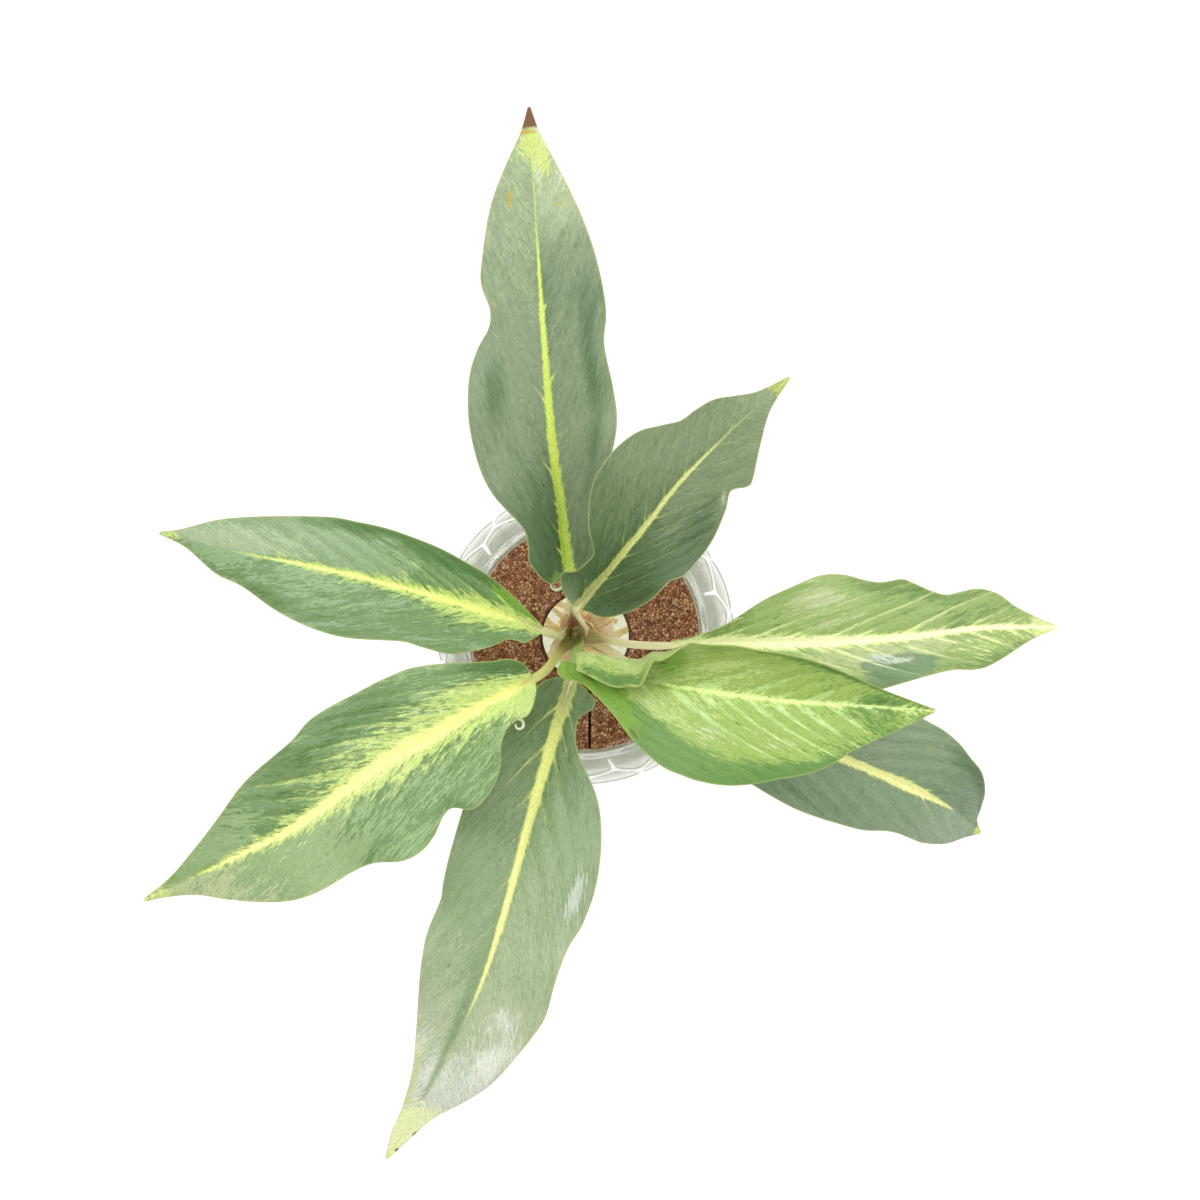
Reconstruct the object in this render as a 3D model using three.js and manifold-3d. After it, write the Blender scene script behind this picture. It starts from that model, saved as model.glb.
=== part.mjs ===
// A grey-green Chinese evergreen growing in water: eight leaves on one cane, held by a split cork lid
// in a clear glass jar with a raised net on its wall. Millimetres, +Z up, the origin is the middle of
// the jar's flat base. North is +Y, east is +X, and each leaf is named for the way it points.
import * as THREE from 'three';
import { mergeVertices } from 'three/addons/utils/BufferGeometryUtils.js';
import Module from 'manifold-3d';

const wasm = await Module();
wasm.setup();

// Driving dimensions
const clearance = 0.3;          // between pieces that touch on the real plant
const rimHeight = 118;          // top of the jar's rim above its base
const mouthRadius = 50.5;       // inside of the rim
const lipWidth = 3.4;           // thickness of the rounded rim
const baseRadius = 40;          // flat face that the jar stands on
const netCells = 18;            // net cells round the jar
const netRows = 6;              // net cells from neck to foot
const ridgeHeight = 1.1;        // how far the net stands out of the wall
const ridgeInset = 3;           // from a corner of the net to the flat pane inside it
const corkRadius = 50;          // top of the cork lid
const corkTaper = 1.2;          // how much smaller its underside is
const corkThickness = 14;
const corkHoleRadius = 19.3;
const corkSlit = 1.1;           // saw cut between the two halves
const slitEast = 1.8;           // place of the cut east of the jar's axis
const lidTop = rimHeight + 1;   // top face of the cork
const waterLevel = 88;
const caneRadius = 6.3;
const caneTop = lidTop + 24;
const caneFoot = 80;            // where the cane ends and its roots begin
const crown = [-4, 1];          // the cane's axis where it leaves the lid, east and north of the jar's
const petioleInset = 3.4;        // from the cane's axis to the start of a petiole's own axis
const bladeThickness = 0.8;
const bladeRows = 24;
const endCrowding = 0.35;       // how much closer together the rows are at both ends
const ribDepth = 1.1;           // how far the midrib stands out underneath at the blade's base
const ribShare = 0.1;           // its half width as a share of the half blade
const bladeColumns = [-1, -0.64, -0.3, -0.07, 0, 0.07, 0.3, 0.64, 1];

// Leaves. base is where the blade leaves its petiole: east, north and height above the lid. heading is
// in degrees anticlockwise from east. midrib, left and right hold points [along, to the left] of the
// outline seen from above, in the leaf's own direction. rise is the midrib's height above the blade's
// base at even steps along it. fold is the upward slope of both halves beside the midrib and bend their
// further turn to the margin, in degrees, at the base, middle and tip. tilt raises the left half and
// lowers the right. wave is [height, waves, phase]. curl is the turn of a left half that is
// still rolled up, as [share of the length, degrees].
// socket is where the petiole leaves the cane: height above the lid's top, and bearing. bow is how far
// before the blade the petiole starts to bend over into it.
const leaves = {
  north: {
    base: [-7, 27, 72], heading: 94.5, rise: [0, 24, 34, 30, 12],
    midrib: [[0, 0], [29, 0.5], [52, 1.5], [80, 1.5], [134, 1], [187, 0.4]],
    left: [[0, 2], [0, 8], [5, 14.5], [12, 14.5], [19, 16], [32, 26], [45, 31], [62, 33], [78, 31.5],
      [89, 27.5], [97, 22.5], [104, 21.5], [113, 24], [122, 23.5], [143, 19], [161, 12], [176, 4.8],
      [187, 1]],
    right: [[0, -2], [2, -8], [6, -12.5], [12, -11.5], [17, -10.7], [31, -16], [46, -22], [58, -24.7],
      [71, -24], [87, -22], [101, -23.7], [120, -21.7], [139, -17], [161, -9], [176, -3], [187, -0.2]],
    fold: [38, 20, 12], bend: [-20, -22, -10], tilt: 2, wave: [1.6, 5, 0.1], socket: [11, 95], bow: 14,
  },
  northeast: {
    base: [-1.7, 12.8, 86], heading: 47.7, rise: [0, 20, 27, 24, 12],
    midrib: [[0, 0], [13, 0.2], [42, 2.3], [63, 4], [93, 2.7], [123, 0]],
    left: [[0, 1.8], [3, 9], [6, 14.5], [10, 9.5], [18, 8], [21, 10], [27, 19], [37, 27.5], [46, 30.5],
      [56, 31], [66, 29], [74, 24], [80, 20], [87, 18.5], [95, 16], [102, 11], [110, 5.5], [123, 0.6]],
    right: [[0, -1.8], [3, -9], [12, -15.5], [22, -18.7], [31, -19], [36, -21.5], [44, -21.7],
      [55, -20.3], [66, -16.5], [73, -13], [79, -16.6], [83, -15.8], [95, -9], [108, -3], [123, -0.6]],
    fold: [40, 18, 10], bend: [-25, -20, -10], tilt: 3, wave: [1.4, 4, 0.3], socket: [20, 75], bow: 9,
  },
  east: {
    base: [43.5, -0.5, 58], heading: 2, rise: [0, 13, 18, 12, -4],
    midrib: [[0, 0], [20, -1], [46, -2], [86, -1.5], [118, 1], [152, 0]],
    left: [[0, 1.8], [4, 2.8], [14, 6], [29, 15], [40, 20], [52, 24.5], [62, 24.5], [71, 22], [77, 21],
      [85, 22], [89, 20.7], [97, 17], [104, 15], [111, 16.3], [118, 17], [126, 14.5], [134, 9], [144, 4],
      [152, 0.6]],
    right: [[0, -1.8], [4, -8], [14, -17], [30, -24], [46, -27], [62, -26], [77, -22], [96, -17.3],
      [106, -15.7], [117, -15.7], [126, -12.3], [140, -5], [152, -0.6]],
    fold: [30, 14, 10], bend: [-20, -18, -10], tilt: 0, wave: [1.8, 4.5, 0.55], socket: [9, 5], bow: 16,
  },
  young: {
    base: [-2.9, -11.3, 84], heading: -6.7, rise: [0, 20, 28, 24, 10],
    midrib: [[0, 0], [25, -1.4], [49, -2.2], [80, -2.3], [112, -1.1], [143, 0]],
    left: [[0, 2], [0, 13], [3, 20], [10, 24.5], [24, 26], [33, 26], [44, 26], [55, 25], [66, 23.5],
      [79, 21], [100, 14.5], [120, 7], [134, 3], [143, 0.6]],
    right: [[0, -2], [2, -5.5], [8, -9], [16, -15.5], [26, -25.5], [37, -33], [45, -35.5], [52, -37],
      [62, -37.5], [72, -36], [82, -33], [95, -29], [104, -24], [112, -18], [132, -7], [143, -0.6]],
    fold: [10, 14, 10], bend: [-8, -16, -8], tilt: 0, wave: [0.8, 3, 0.2], socket: [21, -60], bow: 7,
    curl: [[0, 60], [0.09, 150], [0.165, 168], [0.27, 78], [0.42, 56], [0.7, 32], [1, 10]],
  },
  southeast: {
    base: [40, -22, 40], heading: -25.5, rise: [0, 12, 14, 4, -24],
    midrib: [[0, 0], [35, 2.5], [71, 4], [99, 5], [127, 4], [144, 0]],
    left: [[0, 1.8], [3, 7], [12, 15], [28, 24], [46, 30], [64, 33], [82, 34], [96, 33], [105, 32.5],
      [114, 30.5], [122, 27], [130, 23.5], [136, 17], [138.5, 10], [140, 4], [144, 0.6]],
    right: [[0, -1.8], [3, -7], [12, -14], [28, -20], [43, -22], [59, -23.3], [70, -23], [82, -21.5],
      [93, -19.5], [101, -16.3], [107, -14.8], [113, -14.5], [121, -14], [131, -10.5], [138, -5],
      [144, -0.6]],
    fold: [30, 14, 6], bend: [-20, -22, -30], tilt: 4, wave: [1.3, 4, 0.7], socket: [2, -25], bow: 14,
  },
  south: {
    base: [-5.7, -17.4, 48], heading: -111.1, rise: [0, 16, 24, 18, -6],
    midrib: [[0, 0], [27, 1.6], [60, 4.8], [101, 9], [135, 10.2], [183, 6], [215, 0]],
    left: [[0, 2], [1, 6], [4, 12.3], [8, 12.5], [13, 8.8], [20, 10], [27, 14], [40, 27], [55, 34.8],
      [73, 39.4], [90, 40], [101, 38], [115, 38], [130, 39.5], [139, 38], [150, 34.6], [165, 29],
      [178, 21], [190, 12], [203, 6], [215, 0.6]],
    right: [[0, -2], [2, -8], [8, -12.5], [24, -17], [44, -21.5], [62, -22.2], [82, -20.5], [94, -18.8],
      [101, -17.3], [115, -17.6], [127, -15.5], [140, -12], [157, -7], [172, -3.2], [190, -1.6],
      [203, -2], [215, -0.6]],
    fold: [34, 18, 8], bend: [-20, -24, -10], tilt: -3, wave: [1.8, 5, 0.4], socket: [3, -100], bow: 13,
  },
  southwest: {
    base: [-20.7, -16, 76], heading: -150.4, rise: [0, 18, 26, 22, 4],
    midrib: [[0, 0], [18, -1], [46, -0.5], [70, -0.5], [107, 3.5], [139, 2.6], [180, 0]],
    left: [[0, 2], [2, 6], [8, 11.3], [14, 11], [19, 12.3], [24, 17], [27, 22.7], [33, 28.5], [40, 31.7],
      [45, 32], [51, 28], [56, 29], [63, 34], [70, 36.5], [78, 36], [88, 31.5], [97, 30.3], [111, 30.6],
      [123, 28.6], [134, 24], [147, 16], [158, 8.5], [170, 3.5], [180, 0.6]],
    right: [[0, -2], [0, -7], [4, -12], [11, -15], [27, -23.3], [39, -28], [50, -29.5], [63, -30],
      [75, -30.4], [84, -29.5], [92, -26.5], [102, -24.5], [112, -22.7], [121, -20], [132, -15],
      [147, -9], [165, -3], [180, -0.6]],
    fold: [36, 16, 8], bend: [-22, -22, -10], tilt: 3, wave: [1.8, 5, 0.85], socket: [13, -140], bow: 14,
  },
  west: {
    base: [-17.8, 3.7, 66], heading: 165.7, rise: [0, 16, 22, 18, 4],
    midrib: [[0, 0], [16, -2], [36, -2.7], [54, -3.3], [92, -2.7], [126, -0.5], [160, 0]],
    left: [[0, 1.8], [5, 6.7], [8, 6.5], [12, 7], [18, 11.5], [26, 15.6], [33, 18.1], [44, 18],
      [52, 17.7], [67, 20.6], [78, 21.9], [91, 21], [104, 18], [120, 12.3], [132, 10], [148, 2.8],
      [160, 0.6]],
    right: [[0, -1.8], [4, -4.5], [13, -10.2], [25, -16.2], [35, -19.3], [48, -22.4], [67, -24.5],
      [81, -24.2], [91, -23.5], [106, -20.2], [122, -16], [137, -11], [152, -3.5], [160, -0.6]],
    fold: [34, 18, 8], bend: [-22, -22, -10], tilt: 0, wave: [1.2, 4, 0.6], socket: [4, 168], bow: 14,
  },
};

// Dry sheaths round the cane in the lid's hole: bearing, how far each wraps, foot and top height from
// the lid's top, and how far its pointed end leans out.
const drySheaths = {
  dry_sheath_east: { bearing: 20, wrap: 120, foot: -22, top: 0, lean: 6 },
  dry_sheath_north: { bearing: 130, wrap: 90, foot: -18, top: 3, lean: 2.5 },
  dry_sheath_south: { bearing: -115, wrap: 110, foot: -20, top: -2, lean: 4 },
};

const colours = {
  glass: '#dfe6e2', cork: '#a9795a', water: '#cfdcd8', roots: '#ecd9ac', cane: '#8c8a52',
  drySheath: '#c28f5e', petiole: '#cdd494', blade: '#7f9a7b', youngBlade: '#a3c063',
};

const group = new THREE.Group();
const radians = THREE.MathUtils.degToRad;
const north = new THREE.Vector3(0, 1, 0);

function material(colour, roughness, extra = {}) {
  return new THREE.MeshStandardMaterial({ color: colour, roughness, metalness: 0, ...extra });
}

function addPiece(name, geometry, look) {
  const piece = new THREE.Mesh(geometry, look);
  piece.name = name;
  group.add(piece);
  return piece;
}

// A point on the smooth curve through a list of points, each span taking an equal share of t.
function curveAt(points, t) {
  const last = points.length - 1;
  const place = Math.min(Math.max(t, 0), 1) * last;
  const i = Math.min(Math.floor(place), last - 1);
  const f = place - i;
  const before = points[Math.max(i - 1, 0)];
  const after = points[Math.min(i + 2, last)];
  return points[i].map((start, k) => {
    const end = points[i + 1][k];
    const first = end - before[k];
    const second = 2 * before[k] - 5 * start + 4 * end - after[k];
    const third = 3 * start - before[k] - 3 * end + after[k];
    return start + 0.5 * (first * f + second * f * f + third * f * f * f);
  });
}

// The same curve as a list of points an equal distance apart, read by a share of its length.
function evenCurve(points) {
  const fine = 12 * (points.length - 1);
  const samples = Array.from({ length: fine + 1 }, (_, k) => curveAt(points, k / fine));
  const lengths = [0];
  for (let k = 1; k <= fine; k += 1) {
    const step = Math.hypot(...samples[k].map((value, axis) => value - samples[k - 1][axis]));
    lengths.push(lengths[k - 1] + step);
  }
  const pointAt = (share) => {
    const wanted = share * lengths[fine];
    let k = 1;
    while (k < fine && lengths[k] < wanted) k += 1;
    const f = (wanted - lengths[k - 1]) / (lengths[k] - lengths[k - 1] || 1);
    return samples[k].map((value, axis) => samples[k - 1][axis] * (1 - f) + value * f);
  };
  pointAt.total = lengths[fine];
  return pointAt;
}

function valueAt(values, t) {
  return curveAt(values.map((value) => [value]), t)[0];
}

// A value that eases from each [place, value] stop to the next.
function easedAt(stops, t) {
  const k = Math.max(1, stops.findIndex(([place]) => place >= t));
  const [[from, first], [to, second]] = stops.slice(k - 1, k + 1);
  const share = THREE.MathUtils.smoothstep(t, from, to);
  return first + (second - first) * share;
}

// A closed solid from a row of rings with the same number of points, which run anticlockwise seen
// from the last ring. Each end is closed by strips from one side of the ring to the other.
function loft(rings) {
  const count = rings[0].length;
  const positions = rings.flat(2);
  const faces = [];
  for (let j = 0; j < rings.length - 1; j += 1) {
    for (let i = 0; i < count; i += 1) {
      const a = j * count + i;
      const b = j * count + (i + 1) % count;
      const c = b + count;
      const d = a + count;
      if (i < count / 2) faces.push(a, b, c, a, c, d);
      else faces.push(a, b, d, b, c, d);
    }
  }
  const lastRing = (rings.length - 1) * count;
  for (let i = 0; i < count / 2 - 1; i += 1) {
    const opposite = count - 1 - i;
    faces.push(i, opposite, i + 1, i + 1, opposite, opposite - 1);
    faces.push(lastRing + i, lastRing + i + 1, lastRing + opposite);
    faces.push(lastRing + i + 1, lastRing + opposite - 1, lastRing + opposite);
  }
  const geometry = new THREE.BufferGeometry();
  geometry.setAttribute('position', new THREE.Float32BufferAttribute(positions, 3));
  geometry.setIndex(dropFlatFaces(faces, positions));
  geometry.computeVertexNormals();
  return geometry;
}

// Leaves out faces that have two corners on one point.
function dropFlatFaces(faces, positions) {
  const kept = [];
  const key = (i) => [0, 1, 2].map((axis) => positions[3 * i + axis].toFixed(4)).join();
  for (let k = 0; k < faces.length; k += 3) {
    const corners = faces.slice(k, k + 3);
    if (new Set(corners.map(key)).size === 3) kept.push(...corners);
  }
  return kept;
}

function toSolid(geometry) {
  const bare = geometry.clone();
  bare.deleteAttribute('normal');
  bare.deleteAttribute('uv');
  const merged = mergeVertices(bare, 1e-4);
  return new wasm.Manifold(new wasm.Mesh({
    numProp: 3,
    vertProperties: new Float32Array(merged.attributes.position.array),
    triVerts: new Uint32Array(merged.index.array),
  }));
}

// The largest body of a cut solid, as a geometry.
function toGeometry(solid) {
  const bodies = solid.decompose().sort((a, b) => b.volume() - a.volume());
  const mesh = bodies[0].getMesh();
  const geometry = new THREE.BufferGeometry();
  geometry.setAttribute('position', new THREE.BufferAttribute(mesh.vertProperties, 3));
  geometry.setIndex(new THREE.BufferAttribute(mesh.triVerts, 1));
  geometry.computeVertexNormals();
  return geometry;
}

// A round or oval rod along a curve. size(t) gives its half width and half depth.
function rodRings(path, size, sides, steps, side = new THREE.Vector3(0, 0, 1)) {
  const rings = [];
  for (let j = 0; j <= steps; j += 1) {
    const t = j / steps;
    const centre = path.getPoint(t);
    const ahead = path.getTangent(t);
    const across = new THREE.Vector3().crossVectors(side, ahead).normalize();
    const up = new THREE.Vector3().crossVectors(ahead, across).normalize();
    const [halfWidth, halfDepth] = size(t);
    rings.push(Array.from({ length: sides }, (_, i) => {
      const turn = ((i + 0.5) / sides) * 2 * Math.PI;
      return centre.clone()
        .addScaledVector(across, halfWidth * Math.cos(turn))
        .addScaledVector(up, halfDepth * Math.sin(turn))
        .toArray();
    }));
  }
  return rings;
}

// Glass jar

// The wall's outside from below the lip to the foot, radius and height.
const outerWall = evenCurve([[53.4, 112.5], [57.5, 109.5], [62.5, 103], [65.7, 92], [66.4, 78], [65.4, 60],
  [62, 40], [56.5, 22], [49.5, 8], [44.5, 2]]);
// The inside from the neck to the floor. The neck narrows downwards like the cork.
const innerWall = [[mouthRadius, rimHeight - 1.2], [mouthRadius - 0.7, 110], [53.5, 106.5], [58.8, 100.5],
  [62.4, 91], [63.4, 78], [62.4, 60], [59, 41], [53.5, 24], [47, 11], [41, 6], [30, 4.5]];
const floorMiddleHeight = 4.2;
const ringPoints = 2 * netCells;

// Height of the jar's floor at a distance from its middle.
function floorHeight(radius) {
  const steps = [[0, floorMiddleHeight], ...innerWall.slice(-2).reverse()];
  const k = radius < steps[1][0] ? 1 : 2;
  const share = (radius - steps[k - 1][0]) / (steps[k][0] - steps[k - 1][0]);
  return steps[k - 1][1] + share * (steps[k][1] - steps[k - 1][1]);
}

function seededRandom(seed) {
  let state = seed;
  return () => {
    state = (state * 1664525 + 1013904223) % 4294967296;
    return state / 4294967296;
  };
}

function glassJar() {
  const positions = [];
  const faces = [];
  const random = seededRandom(7);
  const addPoint = (angle, radius, height) => {
    positions.push(radius * Math.cos(angle), radius * Math.sin(angle), height);
    return positions.length / 3 - 1;
  };
  // A point of the wall at an angle and a share of the way down, raised square to the wall.
  const addWallPoint = (angle, share, raised) => {
    const [radius, height] = outerWall(share);
    const [nextRadius, nextHeight] = outerWall(Math.min(share + 0.02, 1));
    const [lastRadius, lastHeight] = outerWall(Math.max(share - 0.02, 0));
    const run = Math.hypot(nextRadius - lastRadius, nextHeight - lastHeight);
    const outward = (lastHeight - nextHeight) / run;
    const upward = (nextRadius - lastRadius) / run;
    return addPoint(angle, radius + raised * outward, height + raised * upward);
  };
  const addRing = (radius, height) => Array.from({ length: ringPoints }, (_, i) =>
    addPoint((i / ringPoints) * 2 * Math.PI, radius, height));
  const joinRings = (upper, lower) => {
    for (let i = 0; i < ringPoints; i += 1) {
      const next = (i + 1) % ringPoints;
      faces.push(upper[i], lower[i], lower[next], upper[i], lower[next], upper[next]);
    }
  };

  // Net nodes: a zigzag line of them on each row, moved a little at random, plain at neck and foot.
  const nodes = [];
  for (let j = 0; j <= netRows; j += 1) {
    const border = j === 0 || j === netRows;
    nodes.push(Array.from({ length: ringPoints }, (_, i) => {
      const zigzag = i % 2 === j % 2 ? 1 / 6 : -1 / 6;
      const sideways = (random() - 0.5) * 0.5;
      const down = (random() - 0.5) * 0.3;
      const angle = ((i + (border ? 0 : sideways)) / ringPoints) * 2 * Math.PI;
      const share = (j + (border ? 0 : zigzag + down)) / netRows;
      return { angle, share, point: addWallPoint(angle, share, border ? 0 : ridgeHeight) };
    }));
  }
  // Cells: six nodes round each, with a flat pane set in from the ridges.
  for (let j = 0; j < netRows; j += 1) {
    for (let cell = 0; cell < netCells; cell += 1) {
      const i = 2 * cell + (j % 2);
      const corners = [[j, i], [j + 1, i], [j + 1, i + 1], [j + 1, i + 2], [j, i + 2], [j, i + 1]]
        .map(([row, k]) => {
          const node = nodes[row][k % ringPoints];
          return { ...node, angle: node.angle + (k >= ringPoints ? 2 * Math.PI : 0) };
        });
      const middleAngle = corners.reduce((sum, corner) => sum + corner.angle, 0) / 6;
      const middleShare = corners.reduce((sum, corner) => sum + corner.share, 0) / 6;
      const [middleRadius] = outerWall(middleShare);
      const pane = corners.map((corner) => {
        const away = Math.hypot((corner.angle - middleAngle) * middleRadius,
          (corner.share - middleShare) * outerWall.total);
        const keep = 1 - ridgeInset / away;
        return addWallPoint(middleAngle + (corner.angle - middleAngle) * keep,
          middleShare + (corner.share - middleShare) * keep, 0);
      });
      const middle = addWallPoint(middleAngle, middleShare, -0.15);
      corners.forEach((corner, k) => {
        const next = (k + 1) % 6;
        faces.push(corner.point, corners[next].point, pane[next], corner.point, pane[next], pane[k]);
        faces.push(pane[k], pane[next], middle);
      });
    }
  }

  // Lip, neck, inside and floor, from the net's top ring inwards.
  const lipMiddle = mouthRadius + lipWidth / 2;
  const rings = [
    [mouthRadius + lipWidth, rimHeight - 4.2],
    [mouthRadius + lipWidth, rimHeight - 1.2],
    [lipMiddle + 1, rimHeight - 0.2],
    [lipMiddle - 0.8, rimHeight],
    ...innerWall,
  ].map(([radius, height]) => addRing(radius, height));
  let below = nodes[0].map((node) => node.point);
  for (const ring of rings) {
    joinRings(ring, below);
    below = ring;
  }
  const floorMiddle = addPoint(0, 0, floorMiddleHeight);
  const foot = addRing(baseRadius, 0);
  joinRings(nodes[netRows].map((node) => node.point), foot);
  const baseMiddle = addPoint(0, 0, 0);
  for (let i = 0; i < ringPoints; i += 1) {
    const next = (i + 1) % ringPoints;
    faces.push(floorMiddle, below[i], below[next]);
    faces.push(baseMiddle, foot[next], foot[i]);
  }
  const geometry = new THREE.BufferGeometry();
  geometry.setAttribute('position', new THREE.Float32BufferAttribute(positions, 3));
  geometry.setIndex(faces);
  geometry.computeVertexNormals();
  return geometry;
}

// Cork lid

// Half of the lid on one side of the slit: -1 for the west half, 1 for the east half.
function corkHalf(side) {
  const edge = slitEast + side * corkSlit / 2;
  const outer = Math.acos(edge / corkRadius);
  const inner = Math.acos(edge / corkHoleRadius);
  const shape = new THREE.Shape();
  if (side > 0) {
    shape.absarc(0, 0, corkRadius, -outer, outer, false);
    shape.absarc(0, 0, corkHoleRadius, inner, -inner, true);
  } else {
    shape.absarc(0, 0, corkRadius, outer, 2 * Math.PI - outer, false);
    shape.absarc(0, 0, corkHoleRadius, 2 * Math.PI - inner, inner, true);
  }
  shape.closePath();
  const geometry = new THREE.ExtrudeGeometry(shape, {
    depth: corkThickness, bevelEnabled: false, curveSegments: 18,
  });
  const place = geometry.attributes.position;
  for (let i = 0; i < place.count; i += 1) {
    if (place.getZ(i) < corkThickness / 2) {
      const shrink = 1 - corkTaper / corkRadius;
      place.setXY(i, place.getX(i) * shrink, place.getY(i) * shrink);
    }
  }
  geometry.translate(0, 0, lidTop - corkThickness);
  return geometry;
}

// Water: a ring that fills the jar, with a plain cone-shaped hole that the roots hang in.

const rootHole = { topRadius: 13, bottomRadius: 39, floor: 5.2 };

function water() {
  const wall = [];
  const gap = 0.4;              // to the glass, sideways
  for (const [radius, height] of [...innerWall].reverse()) {
    if (height > rootHole.floor && height < waterLevel) wall.push([radius - gap, height + clearance]);
  }
  const [upper] = innerWall.filter(([, height]) => height > waterLevel).slice(-1);
  const [lower] = innerWall.filter(([, height]) => height < waterLevel);
  const share = (waterLevel - lower[1]) / (upper[1] - lower[1]);
  wall.push([lower[0] + (upper[0] - lower[0]) * share - gap, waterLevel]);
  const profile = [...wall, [rootHole.topRadius, waterLevel], [rootHole.bottomRadius, wall[0][1]]];
  const points = [...profile, profile[0]].map(([radius, height]) => new THREE.Vector2(radius, height));
  const geometry = new THREE.LatheGeometry(points, ringPoints, 0);
  geometry.rotateX(Math.PI / 2);
  return geometry;
}

// Cane: the old stem, with a slight lean and ring scars.

function caneRings(extra) {
  const scars = 6;
  const steps = 2 * scars;
  const path = new THREE.LineCurve3(new THREE.Vector3(crown[0] / 2, crown[1] / 2, caneFoot),
    new THREE.Vector3(crown[0], crown[1], caneTop + extra));
  const size = (t) => {
    const ring = Math.round(t * steps) % 2;
    const rounding = t > 0.99 ? 1.2 : 0;
    const radius = caneRadius - 0.4 * ring - rounding + extra;
    return [radius, radius];
  };
  return rodRings(path, size, 12, steps, north);
}

// Roots: one bunch that starts in a knob under the cane, hangs in the water's hole and rests on the
// jar's floor by its tips.

const knobRadius = 6.2;
const rootRadius = 1.9;
const rootTip = 1.1;            // radius of a root at its end
const rootCount = 9;

function roots() {
  const knobTop = new THREE.Vector3(crown[0] / 2, crown[1] / 2, caneFoot - 2 * clearance);
  const knobFoot = new THREE.Vector3(crown[0] / 2, crown[1] / 2, caneFoot - 16);
  const knob = rodRings(new THREE.LineCurve3(knobTop, knobFoot),
    (t) => [knobRadius - 2.4 * t, knobRadius - 2.4 * t], 10, 3, north);
  let bunch = toSolid(loft(knob));
  const random = seededRandom(3);
  const size = (t) => [rootRadius + (rootTip - rootRadius) * t, rootRadius + (rootTip - rootRadius) * t];
  for (let k = 0; k < rootCount; k += 1) {
    const bearing = radians((k * 360) / rootCount + 20 * random());
    const start = caneFoot - 5 - 8 * random();
    const reach = 27 + 8 * random();
    const swing = 0.35 * (random() - 0.5);
    const at = (out, height, turn) => new THREE.Vector3(
      crown[0] / 2 * (1 - out / 40) + out * Math.cos(bearing + turn),
      crown[1] / 2 * (1 - out / 40) + out * Math.sin(bearing + turn), height);
    const lying = floorHeight(reach) + rootTip + clearance;
    const path = new THREE.CatmullRomCurve3([
      at(1.5, start, 0),
      at(reach * 0.26, start - 9, swing),
      at(reach * 0.45, start - 28, -swing),
      at(reach * 0.72, lying + 9, swing),
      at(reach * 0.86, lying + 0.6, 0.5 * swing),
      at(reach, lying, 0),
    ]);
    bunch = bunch.add(toSolid(loft(rodRings(path, size, 6, 11, north))));
  }
  return toGeometry(bunch);
}

// Dry sheaths: thin shells that hug the cane, with a pointed end that leans out.

function drySheath({ bearing, wrap, foot, top, lean }) {
  const rows = 6;
  const columns = 4;
  const thickness = 0.8;
  const inside = caneRadius + 2 * clearance;
  const rings = [];
  for (let j = 0; j <= rows; j += 1) {
    const t = j / rows;
    const height = lidTop + foot + (top - foot) * t;
    const share = (height - caneFoot) / (caneTop - caneFoot);
    const centre = [crown[0] * (0.5 + 0.5 * share), crown[1] * (0.5 + 0.5 * share)];
    const spread = radians(wrap / 2) * (1 - 0.93 * t ** 2.2);
    const out = inside + lean * t ** 2;
    const arc = (radius) => Array.from({ length: columns + 1 }, (_, i) => {
      const angle = radians(bearing) + spread * ((2 * i) / columns - 1);
      return [centre[0] + radius * Math.cos(angle), centre[1] + radius * Math.sin(angle), height];
    });
    rings.push([...arc(out + thickness), ...arc(out).reverse()]);
  }
  return loft(rings);
}

// Leaves

// Directions of a leaf's own frame: ahead along its heading and to its left.
function leafFrame(leaf) {
  const turn = radians(leaf.heading);
  return { ahead: [Math.cos(turn), Math.sin(turn)], left: [-Math.sin(turn), Math.cos(turn)] };
}

// Middle surface of a blade as a function of v along it and u across it, from -1 right to 1 left.
function bladeSurface(leaf) {
  const { ahead, left } = leafFrame(leaf);
  const midrib = evenCurve(leaf.midrib);
  const margins = { left: evenCurve(leaf.left), right: evenCurve(leaf.right) };
  const [waveHeight, waves, phase] = leaf.wave;
  return (v, u) => {
    const rib = midrib(v);
    const edge = (u > 0 ? margins.left : margins.right)(v);
    const t = Math.abs(u);
    const width = Math.hypot(edge[0] - rib[0], edge[1] - rib[1]);
    const curled = leaf.curl && u > 0;
    const fold = radians(valueAt(leaf.fold, v));
    const bend = radians(curled ? easedAt(leaf.curl, v) : valueAt(leaf.bend, v));
    const flatWidth = curled ? width : (width * bend) / (Math.sin(fold + bend) - Math.sin(fold));
    const out = (flatWidth * (Math.sin(fold + bend * t) - Math.sin(fold))) / bend;
    const up = (flatWidth * (Math.cos(fold) - Math.cos(fold + bend * t))) / bend;
    const swing = Math.sin(2 * Math.PI * (waves * v + phase) + u);
    const ripple = waveHeight * t * t * Math.sin(Math.PI * v) * swing;
    const share = width > 0 ? out / width : 0;
    const along = rib[0] + (edge[0] - rib[0]) * share;
    const across = rib[1] + (edge[1] - rib[1]) * share;
    const lean = Math.tan(radians(leaf.tilt)) * across * Math.sin(Math.PI * Math.min(v * 2, 1) / 2);
    return new THREE.Vector3(
      leaf.base[0] + ahead[0] * along + left[0] * across,
      leaf.base[1] + ahead[1] * along + left[1] * across,
      lidTop + leaf.base[2] + valueAt(leaf.rise, v) + up + ripple + lean,
    );
  };
}

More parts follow.
